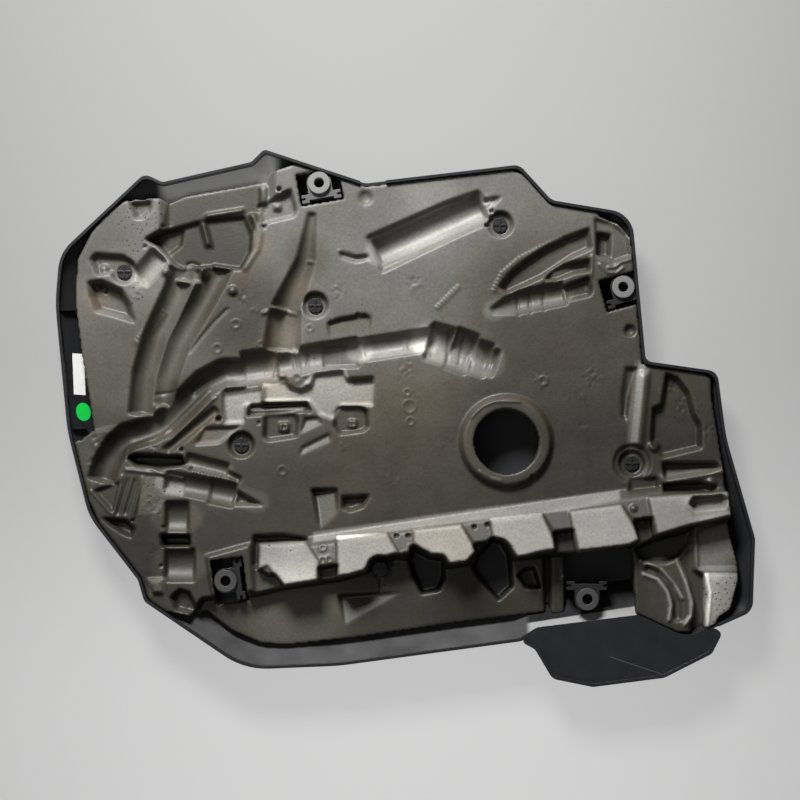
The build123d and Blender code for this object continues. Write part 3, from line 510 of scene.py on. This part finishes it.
def product(tree, *values):
    """Product of several sockets."""
    result = values[0]
    for value in values[1:]:
        result = math_node(tree, "MULTIPLY", result, value)
    return result


def band(tree, value, low, high, softness):
    """1 between two limits, fading to 0 outside them."""
    rising = stepped(tree, value, low - softness, low + softness)
    falling = stepped(tree, value, high + softness, high - softness)
    return product(tree, rising, falling)


def place_axes(tree):
    """Sockets X, Y and Z of the place on the object, in metres."""
    place = tree.nodes.new("ShaderNodeTexCoord")
    split = tree.nodes.new("ShaderNodeSeparateXYZ")
    tree.links.new(place.outputs["Object"], split.inputs["Vector"])
    return split.outputs


def normal_axes(tree):
    """Sockets X, Y and Z of the surface's normal."""
    geometry = tree.nodes.new("ShaderNodeNewGeometry")
    split = tree.nodes.new("ShaderNodeSeparateXYZ")
    tree.links.new(geometry.outputs["True Normal"], split.inputs["Vector"])
    return split.outputs


def attribute(tree, name):
    """A number stored on the mesh's vertices."""
    node = tree.nodes.new("ShaderNodeAttribute")
    node.attribute_name = name
    return node.outputs["Fac"]


def bump(tree, shader, height, distance, strength, normal=None):
    """Bump on the shader from a height socket, on top of another normal if one is given."""
    node = tree.nodes.new("ShaderNodeBump")
    node.inputs["Strength"].default_value = strength
    node.inputs["Distance"].default_value = distance * MM
    tree.links.new(height, node.inputs["Height"])
    if normal is not None:
        tree.links.new(normal, node.inputs["Normal"])
    tree.links.new(node.outputs["Normal"], shader.inputs["Normal"])
    return node.outputs["Normal"]


def bevelled(tree, radius):
    """Normal of edges rounded by a radius."""
    node = tree.nodes.new("ShaderNodeBevel")
    node.samples = BEVEL_SAMPLES
    node.inputs["Radius"].default_value = radius * MM
    return node.outputs["Normal"]


def moulded(tree, shader, least_roughness, grain, edge):
    """Roughness that spreads upwards from its least value, fine grain and softened edges on a shader."""
    spread = math_node(tree, "MULTIPLY", noise(tree, SPREAD_WAVES), ROUGHNESS_SPREAD)
    tree.links.new(math_node(tree, "ADD", spread, least_roughness), shader.inputs["Roughness"])
    bump(tree, shader, noise(tree, GRAIN_WAVES, detail=3.0), grain, GRAIN_STRENGTH, bevelled(tree, edge))


def plastic(name, colour, roughness, grain, edge):
    """Moulded plastic or rubber with a clouded colour, a fine grain and softened edges."""
    material, tree, shader = node_material(name)
    darker = tuple(CLOUD_DARKEST * part for part in colour)
    lighter = tuple(CLOUD_LIGHTEST * part for part in colour)
    clouded = mix_colour(tree, noise(tree, CLOUD_WAVES), darker, lighter)
    tree.links.new(clouded, shader.inputs["Base Color"])
    moulded(tree, shader, roughness - ROUGHNESS_SPREAD / 2, grain, edge)
    return material


def rubber():
    """Matt rubber, painted lighter towards the cover's upper edge as painted light."""
    material = plastic("rubber_look", RUBBER_COLOUR, roughness=0.5, grain=0.06, edge=1.2)
    tree = material.node_tree
    shader = tree.nodes["Principled BSDF"]
    # Painted light: the rubber grows lighter towards the upper edge
    painted_light = stepped(tree, place_axes(tree)["Y"], *metres(RUBBER_LIGHT_Y))
    plain = shader.inputs["Base Color"].links[0].from_socket
    tree.links.new(mix_colour(tree, painted_light, plain, RUBBER_PAINTED_LIGHT_COLOUR), shader.inputs["Base Color"])
    return material


def slope_colours(tree, colour, place, facing):
    """Colour with the shell's inner slopes: a painted reflection at the top and a painted sheen at the
    bottom, where the right end is dark with a pale strip that is a painted reflection."""
    sloped = band(tree, facing["Z"], *SLOPE_FACING)
    inside = stepped(tree, place["Z"], *metres(INSIDE_RISE))
    upper_x = band(tree, place["X"], *metres(UPPER_SLOPE_X))
    upper = product(tree, sloped, inside, upper_x, stepped(tree, place["Y"], *metres(UPPER_SLOPE_Y)))
    # Painted reflection on the upper slope
    colour = mix_colour(tree, upper, colour, UPPER_REFLECTION_COLOUR)
    lower_y = stepped(tree, place["Y"], *metres(LOWER_SLOPE_Y))
    lower = product(tree, sloped, inside, lower_y, stepped(tree, facing["Y"], *LOWER_FACING))
    # Painted sheen on the lower slope
    painted_sheen = ramp(tree, noise(tree, LOWER_SHEEN_WAVES, detail=6.0), LOWER_SHEEN_STOPS)
    colour = mix_colour(tree, lower, colour, painted_sheen)
    dark = product(tree, lower, stepped(tree, place["X"], *metres(DARK_END_X)))
    colour = mix_colour(tree, dark, colour, DARK_END_COLOUR)
    tilted = math_node(tree, "SUBTRACT", place["Y"], math_node(tree, "MULTIPLY", place["X"], STRIP_TILT))
    # Pale strip: a painted reflection
    reflection_strip = product(tree, dark, band(tree, tilted, *metres(STRIP_LIMITS)))
    return mix_colour(tree, reflection_strip, colour, REFLECTION_STRIP_COLOUR)


def tongue_marks(tree, colour, place, facing):
    """Colour with the tongue's scuffed edge and its scratch."""
    tongue = product(
        tree,
        stepped(tree, place["Z"], *metres(TONGUE_HEIGHT)),
        stepped(tree, facing["Z"], *FLAT_FACING),
    )
    scuffs = ramp(tree, noise(tree, SCUFF_WAVES, detail=8.0, roughness=0.7), SCUFF_STOPS)
    scuffed = product(tree, tongue, stepped(tree, place["Y"], *metres(SCUFF_Y)), scuffs)
    colour = mix_colour(tree, scuffed, colour, SCUFF_COLOUR)
    across = math_node(
        tree,
        "ADD",
        math_node(tree, "MULTIPLY", place["X"], SCRATCH_ACROSS[0]),
        math_node(tree, "MULTIPLY", place["Y"], SCRATCH_ACROSS[1]),
    )
    scratch_line = band(tree, across, *metres(SCRATCH_LIMITS))
    scratch = product(tree, tongue, scratch_line, band(tree, place["X"], *metres(SCRATCH_X)))
    return mix_colour(tree, scratch, colour, SCRATCH_COLOUR)


def shell_material():
    """Black satin plastic; its inner slopes carry a painted reflection and a painted sheen, its low floor a
    painted light, and its tongue is scuffed.
    """
    material, tree, shader = node_material("shell_look")
    place = place_axes(tree)
    facing = normal_axes(tree)
    colour = mix_colour(tree, noise(tree, CLOUD_WAVES), SHELL_DARK, SHELL_LIGHT)
    # The low flat floor is painted lighter: painted light where it lies in shade
    low = stepped(tree, place["Z"], *metres(SHELL_FLOOR_TOP))
    bottom = product(tree, low, stepped(tree, facing["Z"], *FLAT_FACING))
    colour = mix_colour(tree, bottom, colour, SHELL_FLOOR_PAINTED_LIGHT)
    colour = slope_colours(tree, colour, place, facing)
    colour = tongue_marks(tree, colour, place, facing)
    tree.links.new(colour, shader.inputs["Base Color"])
    shader.inputs["Specular IOR Level"].default_value = SHELL_SPECULAR
    moulded(tree, shader, SHELL_ROUGHNESS, SHELL_GRAIN, SHELL_EDGE)
    return material


def paper(name, colour):
    """Bare matt sticker paper with faint fibres and smudges."""
    material, tree, shader = node_material(name)
    smudge = ramp(tree, noise(tree, SMUDGE_WAVES), SMUDGE_STOPS)
    tree.links.new(mix_colour(tree, 1.0, colour, smudge, "MULTIPLY"), shader.inputs["Base Color"])
    shader.inputs["Roughness"].default_value = PAPER_ROUGHNESS
    bump(tree, shader, noise(tree, FIBRE_WAVES, detail=2.0), FIBRE_HEIGHT, FIBRE_STRENGTH)
    return material


def pore_mask(tree, share):
    """Small pores at scattered places; the share says how many of them show."""
    place = tree.nodes.new("ShaderNodeTexCoord")
    cells = tree.nodes.new("ShaderNodeTexVoronoi")
    cells.voronoi_dimensions = "2D"
    cells.inputs["Scale"].default_value = PORE_WAVES
    tree.links.new(place.outputs["Object"], cells.inputs["Vector"])
    limit = math_node(tree, "MULTIPLY", share, PORE_MOST)
    chosen = math_node(tree, "LESS_THAN", cells.outputs["Color"], limit)
    return product(tree, stepped(tree, cells.outputs["Distance"], *PORE_EDGE), chosen)


def foam_material():
    """Skinned moulded foam: mottled warm grey with a sheen, pebbled where it is bright, and stained; its grey
    comes from the tone, which holds painted light and shade.
    """
    material, tree, shader = node_material("moulded_foam_look")
    tone = attribute(tree, "tone")
    rough = attribute(tree, "rough")
    fine = noise(tree, FOAM_FINE_WAVES, detail=5.0, roughness=0.65)
    tint = mix_colour(tree, stepped(tree, tone, *TINT_TONES), DARK_TINT, BRIGHT_TINT)
    cloud = noise(tree, FOAM_CLOUD_WAVES, detail=6.0, roughness=0.6)
    mottle = ramp(tree, cloud, MOTTLE_STOPS)
    speck = ramp(tree, fine, SPECK_STOPS)
    colour = mix_colour(tree, 1.0, tone, tint, "MULTIPLY")
    colour = mix_colour(tree, 1.0, colour, mottle, "MULTIPLY")
    colour = mix_colour(tree, SPECK_SHARE, colour, speck, "MULTIPLY")
    amber = mix_colour(tree, 1.0, colour, AMBER_TINT, "MULTIPLY")
    colour = mix_colour(tree, attribute(tree, "stain"), colour, amber)
    pores = pore_mask(tree, attribute(tree, "pores"))
    # Pores painted near black: a painted shade for the pits
    tree.links.new(mix_colour(tree, pores, colour, PORE_SHADE_COLOUR), shader.inputs["Base Color"])
    sheen = ramp(tree, noise(tree, FOAM_SHEEN_WAVES, detail=5.0), SHEEN_STOPS)
    dull = math_node(tree, "MULTIPLY", rough, PEBBLE_DULLNESS)
    tree.links.new(math_node(tree, "ADD", sheen, dull), shader.inputs["Roughness"])
    shader.inputs["Specular IOR Level"].default_value = FOAM_SPECULAR
    pebbles = product(tree, noise(tree, PEBBLE_WAVES, detail=3.0, roughness=0.5), rough)
    grain = bump(tree, shader, fine, FOAM_GRAIN, FOAM_GRAIN_STRENGTH)
    bump(tree, shader, pebbles, PEBBLE_HEIGHT, PEBBLE_STRENGTH, grain)
    return material


def blur(values, sigma):
    """Gaussian blur of a grid, sigma in cells."""
    reach = max(1, int(math.ceil(BLUR_REACH * sigma)))
    offsets = np.arange(-reach, reach + 1)
    weights = np.exp(-0.5 * (offsets / sigma) ** 2)
    weights /= weights.sum()
    for axis in (0, 1):
        padded = np.pad(values, [(reach, reach) if a == axis else (0, 0) for a in (0, 1)], mode="edge")
        length = values.shape[axis]
        parts = [w * padded.take(range(k, k + length), axis) for k, w in enumerate(weights)]
        values = sum(parts)
    return values


def softened(heights, mask, sigma):
    """Heights blurred inside the mask alone."""
    filled = np.where(mask, heights, 0.0)
    return blur(filled, sigma) / np.maximum(blur(mask.astype(float), sigma), LEAST_COVER)


def height_at(tree, x, y):
    """Height of the CAD foam at a place seen from above, not a number beside the foam."""
    hit = tree.ray_cast(Vector((x * MM, y * MM, RAY_TOP * MM)), Vector((0, 0, -1)))[0]
    return math.nan if hit is None else hit.z / MM


def near_steps(heights):
    """Cells of the grid beside a steep step or beside the foam's outline."""
    near = np.zeros(heights.shape, dtype=bool)
    filled = np.nan_to_num(heights, nan=BESIDE_FOAM)
    across = np.abs(np.diff(filled, axis=1)) > EDGE_STEP
    along = np.abs(np.diff(filled, axis=0)) > EDGE_STEP
    near[:, 1:] |= across
    near[:, :-1] |= across
    near[1:] |= along
    near[:-1] |= along
    return near


def foam_grid():
    """Height of the CAD foam on a grid seen from above, each cell's share of foam, and the measuring tree."""
    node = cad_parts["foam_liner"]
    places = [vertex.co.copy() for vertex in node.data.vertices]
    tree = BVHTree.FromPolygons(places, [tuple(face.vertices) for face in node.data.polygons])
    low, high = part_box("foam_liner")
    xs = np.arange(low.x / MM - MARGIN_CELLS * CELL, high.x / MM + MARGIN_CELLS * CELL, CELL)
    ys = np.arange(low.y / MM - MARGIN_CELLS * CELL, high.y / MM + MARGIN_CELLS * CELL, CELL)
    heights = np.array([[height_at(tree, x, y) for x in xs] for y in ys])
    shares = (~np.isnan(heights)).astype(float)
    for row, column in np.argwhere(near_steps(heights)):
        around_x = xs[column] + CELL * np.array(SUB_PLACES)
        around_y = ys[row] + CELL * np.array(SUB_PLACES)
        around = np.array([height_at(tree, x, y) for x in around_x for y in around_y])
        shares[row, column] = np.mean(~np.isnan(around))
        if not np.isnan(heights[row, column]):
            heights[row, column] = np.nanmean(around)
    return xs, ys, heights, shares, tree


def falloff(distance, radius, power):
    """1 at no distance, fading out at the radius, more steeply for a higher power."""
    return np.exp(-(distance / radius) ** power)


def gained(gain, share):
    """Factor that is the gain where the share is 1, and 1 where the share is 0."""
    return 1 + (gain - 1) * share


def along_path(x, y, path):
    """Distance from a path of straight pieces, and the length along it at the nearest point."""
    nearest = np.full(x.shape, np.inf)
    along = np.zeros(x.shape)
    run = 0.0
    for (ax, ay), (bx, by) in zip(path, path[1:]):
        length = math.hypot(bx - ax, by - ay)
        ux, uy = (bx - ax) / length, (by - ay) / length
        share = np.clip((x - ax) * ux + (y - ay) * uy, 0.0, length)
        distance = np.hypot(x - ax - share * ux, y - ay - share * uy)
        closer = distance < nearest
        nearest = np.where(closer, distance, nearest)
        along = np.where(closer, run + share, along)
        run += length
    return nearest, along


def inside_outline(x, y, outline):
    """1 inside a closed outline, 0 outside, with a soft edge."""
    crossings = np.zeros(x.shape, dtype=int)
    for (ax, ay), (bx, by) in zip(outline, outline[1:] + outline[:1]):
        if ay == by:
            continue
        spans = (ay > y) != (by > y)
        crossings += spans & (x < ax + (y - ay) * (bx - ax) / (by - ay))
    distance = along_path(x, y, outline + outline[:1])[0]
    signed = np.where(crossings % 2 == 1, distance, -distance)
    return np.clip(0.5 + 0.5 * signed / MASK_SOFTNESS, 0.0, 1.0)


def add_marks(x, y, heights, grain):
    """Fine relief of the skin: rings, holes, knobs, lines, teeth and rough spots."""
    for cx, cy, radius in RINGS:
        away = np.hypot(x - cx, y - cy)
        ring = RING_RISE * falloff(away - radius, RING_WIDTH, GENTLE)
        heights += ring - RING_DIP * falloff(away, RING_DIP_SHARE * radius, GENTLE)
    for cx, cy, radius, depth in HOLES:
        heights -= depth * falloff(np.hypot(x - cx, y - cy), radius, FIRM)
    for cx, cy, radius, rise in KNOBS:
        heights += rise * falloff(np.hypot(x - cx, y - cy), radius, FIRM)
    for path, half, rise in LINES:
        heights += rise * falloff(along_path(x, y, path)[0], half, GENTLE)
    for path, pitch, half, rise in TEETH:
        distance, run = along_path(x, y, path)
        heights += rise * falloff(distance, half, FIRM) * np.sin(math.pi * run / pitch) ** 2
    for cx, cy, radius, rise in ROUGH_SPOTS:
        away = np.hypot(x - cx, y - cy)
        heights += ROUGH_GAIN * rise * grain * falloff(away, ROUGH_SHARE * radius, FIRM)


def clear_clips(x, y, soft, heights):
    """Softened heights, kept under the heads of the clips."""
    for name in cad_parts:
        if name.startswith("foam_clip"):
            low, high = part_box(name)
            middle = (low + high) / (2 * MM)
            reach = (high.x - low.x) / (2 * MM) + CLIP_GAP
            near = np.hypot(x - middle.x, y - middle.y) < reach
            soft = np.where(near, np.minimum(soft, np.nanmedian(heights[near])), soft)
    return soft


def plain_tone(x, y):
    """Grey level of the plain skin, with painted light and sheen that change up the face and painted shade to
    the right.
    """
    heights, levels = zip(*FACE_LEVELS)
    tone = np.interp(y, heights, levels)
    share = np.clip((x - RIGHT_START) / (RIGHT_END - RIGHT_START), 0.0, 1.0)
    heights, parts = zip(*RIGHT_REACH)
    tone *= 1 - RIGHT_SHARE * share * share * (3 - 2 * share) * np.interp(y, heights, parts)
    return tone


def skin_tones(x, y):
    """Grey level with painted light and shade, pebbling, stain and pores of the skin at each place."""
    tone = plain_tone(x, y)
    # Broad zones of painted shade and painted light
    for cx, cy, radius, gain in PAINTED_SHADE_AND_LIGHT_ZONES:
        tone *= gained(gain, falloff(np.hypot(x - cx, y - cy), radius, FIRM))
    rough = np.full(x.shape, LEAST_PEBBLES)
    for outline, gain, pebbles in PLATES:
        inside = inside_outline(x, y, outline)
        # The plate's gain paints a highlight, and paints shade where it is below 1
        tone *= gained(gain, inside)
        rough = np.maximum(rough, pebbles * inside)
    # Painted highlights along round parts and ridges
    for path, half, gain in PAINTED_HIGHLIGHT_RUNS:
        tone *= gained(gain, falloff(along_path(x, y, path)[0], half, STEEP))
    # Painted shade in hollows
    for outline, gain in PAINTED_SHADE_HOLLOWS:
        tone *= gained(gain, inside_outline(x, y, outline))
    stain = np.zeros(x.shape)
    for cx, cy, radius, strength in STAINS:
        stain = np.maximum(stain, strength * falloff(np.hypot(x - cx, y - cy), radius, GENTLE))
    pores = np.zeros(x.shape)
    for cx, cy, radius, share in PORES:
        pores = np.maximum(pores, share * falloff(np.hypot(x - cx, y - cy), radius, FIRM))
    return {"tone": tone, "rough": rough, "stain": stain, "pores": pores}


def smooth_outline(x, y, cover, mask):
    """Places of the grid, moved at the foam's outline to where the foam covers half of a cell."""
    slope_y, slope_x = np.gradient(cover)
    steep = np.maximum(slope_x ** 2 + slope_y ** 2, LEAST_STEEPNESS)
    inside = blur(mask.astype(float), BORDER_BLUR) > WHOLE
    move = np.where(mask & ~inside, np.clip((0.5 - cover) / steep, -MOST_MOVE, MOST_MOVE), 0.0)
    return x + slope_x * move * CELL, y + slope_y * move * CELL


def painted_shade_and_light(tone, heights, cover, mask):
    """Tone with painted shade in hollows, painted light on slopes that face the cover's upper edge, and
    painted shade on those that face its lower edge.
    """
    cavity = heights - softened(heights, mask, CAVITY_REACH / CELL)
    tone = tone * np.clip(1 + CAVITY_SHARE * cavity, *CAVITY_LIMITS)
    fall_y, fall_x = np.gradient(-heights, CELL)
    upward = blur(fall_y / np.sqrt(1 + fall_x ** 2 + fall_y ** 2), EDGE_SOFTNESS / CELL)
    upward *= np.clip(PAINTED_LIGHT_FADE * cover - (PAINTED_LIGHT_FADE - 1), 0.0, 1.0)
    return tone * np.maximum(PAINTED_SHADE_LEAST, 1 + np.where(upward > 0, PAINTED_LIGHT_SHARE, PAINTED_SHADE_SHARE) * upward)


def relief(xs, ys, heights, shares, mask):
    """Places of the foam's surface, with softened edges, fine relief and a smooth outline, and its tones with
    painted light and shade.
    """
    grid_x, grid_y = np.meshgrid(xs, ys)
    drawn_x, drawn_y = grid_x - DRAWING_SHIFT[0], grid_y - DRAWING_SHIFT[1]
    soft = softened(np.nan_to_num(heights), mask, EDGE_SOFTNESS / CELL)
    grain = blur(np.random.default_rng(GRAIN_SEED).normal(size=mask.shape), GRAIN_SIZE / CELL)
    add_marks(drawn_x, drawn_y, soft, grain / grain.std())
    soft = clear_clips(grid_x, grid_y, soft, heights)
    cover = blur(shares, EDGE_SOFTNESS / CELL)
    soft = soft - EDGE_DROP * np.maximum(0.0, DROP_START - cover)
    moved_x, moved_y = smooth_outline(grid_x, grid_y, cover, mask)
    tones = skin_tones(drawn_x, drawn_y)
    # Painted shade in hollows, and painted light and shade on slopes by the way they face
    tones["tone"] = painted_shade_and_light(tones["tone"], soft, cover, mask)
    return np.stack([moved_x, moved_y, soft], -1), tones


def bends(heights, tone, mask):
    """How much the surface and its tone bend, as the most at the four corners of each cell."""
    bend = np.full(mask.shape, BORDER_BEND)
    middle = heights[1:-1, 1:-1]
    across = np.abs(heights[1:-1, 2:] + heights[1:-1, :-2] - 2 * middle)
    along = np.abs(heights[2:, 1:-1] + heights[:-2, 1:-1] - 2 * middle)
    twist = np.abs(heights[2:, 2:] + heights[:-2, :-2] - heights[2:, :-2] - heights[:-2, 2:]) / 4
    bend[1:-1, 1:-1] = np.maximum(np.maximum(across, along), twist)
    tone_y, tone_x = np.gradient(tone)
    bend = np.maximum(bend, TONE_WEIGHT * np.hypot(tone_x, tone_y) / tone)
    bend = np.where(blur(mask.astype(float), BEND_BLUR) > WHOLE, bend, BORDER_BEND)
    pairs = np.maximum(bend[:-1], bend[1:])
    return np.maximum(pairs[:, :-1], pairs[:, 1:])


def squares(bend, present):
    """Squares of the grid as row, column and size: large where it is flat, single cells elsewhere."""
    taken = ~present
    found = []
    for size in SQUARE_SIZES:
        rows, columns = (length // size for length in taken.shape)
        shape = (rows, size, columns, size)
        busy = taken[:rows * size, :columns * size].reshape(shape).any((1, 3))
        if size > 1:
            most = bend[:rows * size, :columns * size].reshape(shape).max((1, 3))
            # A curve leaves the chord over a square by an eighth of its bend times the square of the size
            busy |= most * size ** 2 > 8 * FLATNESS
        for row, column in np.argwhere(~busy) * size:
            found.append((int(row), int(column), size))
            taken[row:row + size, column:column + size] = True
    return found


def skin_faces(bend, mask):
    """Faces of the surface as lists of grid corners; a large square takes in its neighbours' corners."""
    corners = mask[:-1, :-1].astype(int) + mask[:-1, 1:] + mask[1:, 1:] + mask[1:, :-1]
    used = np.zeros(mask.shape, dtype=bool)
    found = squares(bend, corners == 4)
    for row, column, size in found:
        used[row:row + size + 1:size, column:column + size + 1:size] = True
    faces = []
    for row, column, size in found:
        steps = range(size)
        border = [(row, column + n) for n in steps] + [(row + n, column + size) for n in steps]
        border += [(row + size, column + size - n) for n in steps] + [(row + size - n, column) for n in steps]
        faces.append([corner for corner in border if used[corner]])
    for row, column in np.argwhere(corners == 3).tolist():
        border = [(row, column), (row, column + 1), (row + 1, column + 1), (row + 1, column)]
        faces.append([corner for corner in border if mask[corner]])
    return faces


def border_edges(faces):
    """Edges that belong to one face alone, as pairs of corner numbers."""
    edges = {(a, b) for face in faces for a, b in zip(face, face[1:] + face[:1])}
    return sorted((a, b) for a, b in edges if (b, a) not in edges)


def wall_foot(tree, point):
    """Place straight under a point of the outline, on the CAD foam's underside."""
    x, y, z = point
    hit = tree.ray_cast(Vector((x * MM, y * MM, RAY_BOTTOM * MM)), Vector((0, 0, 1)))[0]
    floor = hit.z / MM if hit is not None else z - USUAL_WALL
    return x, y, min(floor, z - LEAST_WALL)


def foam_mesh():
    """Foam surface seen from above, with walls down to the CAD foam's underside, and its tones."""
    xs, ys, heights, shares, tree = foam_grid()
    mask = ~np.isnan(heights)
    places, tones = relief(xs, ys, heights, shares, mask)
    grid_faces = skin_faces(bends(places[:, :, 2], tones["tone"], mask), mask)
    corners = sorted({corner for face in grid_faces for corner in face})
    number = {corner: n for n, corner in enumerate(corners)}
    faces = [[number[corner] for corner in face] for face in grid_faces]
    points = [tuple(places[corner]) for corner in corners]
    border = border_edges(faces)
    feet = {}
    for n in sorted({n for edge in border for n in edge}):
        feet[n] = len(points)
        points.append(wall_foot(tree, points[n]))
        corners.append(corners[n])
    faces += [(b, a, feet[a], feet[b]) for a, b in border]
    mesh = bpy.data.meshes.new("foam_skin")
    mesh.from_pydata([metres(point) for point in points], [], faces)
    mesh.polygons.foreach_set("use_smooth", [True] * len(mesh.polygons))
    rows, columns = np.array(corners).T
    for name, values in tones.items():
        layer = mesh.attributes.new(name, "FLOAT", "POINT")
        layer.data.foreach_set("value", values[rows, columns].astype(np.float32))
    return mesh


def foam_piece():
    """The foam as seen, in place of its CAD node."""
    piece = bpy.data.objects.new("foam_skin", foam_mesh())
    bpy.context.scene.collection.objects.link(piece)
    piece.data.materials.append(foam_material())
    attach(piece, "root")
    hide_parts("foam_liner")


def dress():
    """Materials of the CAD nodes that stay, by the longest start of the name that fits; the foam has none."""
    looks = {
        "cover_shell": shell_material(),
        "grommet_bracket": plastic("bracket_look", BRACKET_COLOUR, roughness=0.42, grain=0.05, edge=0.6),
        # The upper-left bracket takes a lighter copy of the bracket plastic: painted light
        "grommet_bracket_upper_left": plastic(
            "painted_light_bracket_look", BRACKET_PAINTED_LIGHT_COLOUR, roughness=0.5, grain=0.08, edge=0.6
        ),
        "grommet": rubber(),
        "foam_clip": plastic("clip_look", CLIP_COLOUR, roughness=0.38, grain=0.03, edge=0.5),
        "part_label": paper("label_look", LABEL_COLOUR),
        "inspection_dot": paper("dot_look", DOT_COLOUR),
    }
    for name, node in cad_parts.items():
        key = max((k for k in looks if name.startswith(k)), key=len, default=None)
        if key is None:
            continue
        node.data.materials.clear()
        node.data.materials.append(looks[key])


def area_light(name, place, target, size, power):
    """Square soft light at a place that faces a target."""
    data = bpy.data.lights.new(name, "AREA")
    data.size = size
    data.energy = power
    light = bpy.data.objects.new(name, data)
    light.location = place
    aim = Vector(target) - Vector(place)
    light.rotation_euler = aim.to_track_quat("-Z", "Y").to_euler()
    bpy.context.scene.collection.objects.link(light)


def floor_glow(tree):
    """Emission of the floor at its level as the camera sees it; its rise to the front and fall to the sides
    are painted light.
    """
    place = place_axes(tree)
    fall = math_node(tree, "MULTIPLY", product(tree, place["X"], place["X"]), FLOOR_FALL)
    fall = math_node(tree, "MINIMUM", fall, FLOOR_FALL_MOST)
    lift = math_node(tree, "MULTIPLY", stepped(tree, place["Y"], *metres(FLOOR_LIFT_Y)), FLOOR_LIFT)
    level = math_node(tree, "SUBTRACT", math_node(tree, "ADD", lift, FLOOR_LEVEL), fall)
    glow = tree.nodes.new("ShaderNodeEmission")
    tree.links.new(level, glow.inputs["Color"])
    return glow.outputs["Emission"]


def floor_material():
    """Pale studio floor: nearly even to the camera, with a faint share of the real light and shadow."""
    material, tree, shader = node_material("floor_look")
    shader.inputs["Base Color"].default_value = FLOOR_COLOUR
    shader.inputs["Roughness"].default_value = FLOOR_ROUGHNESS
    path = tree.nodes.new("ShaderNodeLightPath")
    seen = math_node(tree, "MAXIMUM", path.outputs["Is Camera Ray"], path.outputs["Is Glossy Ray"])
    seen = math_node(tree, "MAXIMUM", seen, path.outputs["Is Transmission Ray"])
    mix = tree.nodes.new("ShaderNodeMixShader")
    tree.links.new(math_node(tree, "MULTIPLY", seen, FLOOR_GLOW_SHARE), mix.inputs["Fac"])
    tree.links.new(shader.outputs["BSDF"], mix.inputs[1])
    tree.links.new(floor_glow(tree), mix.inputs[2])
    tree.links.new(mix.outputs["Shader"], tree.nodes["Material Output"].inputs["Surface"])
    return material


def sky():
    """Dim even light all round."""
    world = bpy.data.worlds.new("sky")
    world.use_nodes = True
    world.node_tree.nodes["Background"].inputs["Color"].default_value = SKY_COLOUR
    return world


def camera_object():
    """Camera of the photo, tilted a little from straight down."""
    data = bpy.data.cameras.new("camera")
    data.lens = data.sensor_width * VIEW_DISTANCE / VIEW_WIDTH
    data.clip_end = VIEW_END * MM
    camera = bpy.data.objects.new("camera", data)
    tilt = math.radians(VIEW_TILT)
    back = Vector((0, -math.sin(tilt), math.cos(tilt)))
    camera.location = (Vector(VIEW_TARGET) + back * VIEW_DISTANCE) * MM
    camera.rotation_euler = (tilt, 0, 0)
    bpy.context.scene.collection.objects.link(camera)
    return camera


def stage():
    """Floor, lights, sky and camera."""
    bpy.ops.mesh.primitive_plane_add(size=FLOOR_SIZE, location=FLOOR_PLACE)
    floor = bpy.context.object
    floor.name = "floor"
    floor.data.materials.append(floor_material())
    area_light("key", KEY_PLACE, KEY_TARGET, KEY_SIZE, KEY_POWER)
    area_light("fill", FILL_PLACE, FILL_TARGET, FILL_SIZE, FILL_POWER)
    bpy.context.scene.world = sky()
    bpy.context.scene.camera = camera_object()
    bpy.context.scene.view_settings.view_transform = "Standard"


dress()
foam_piece()
stage()
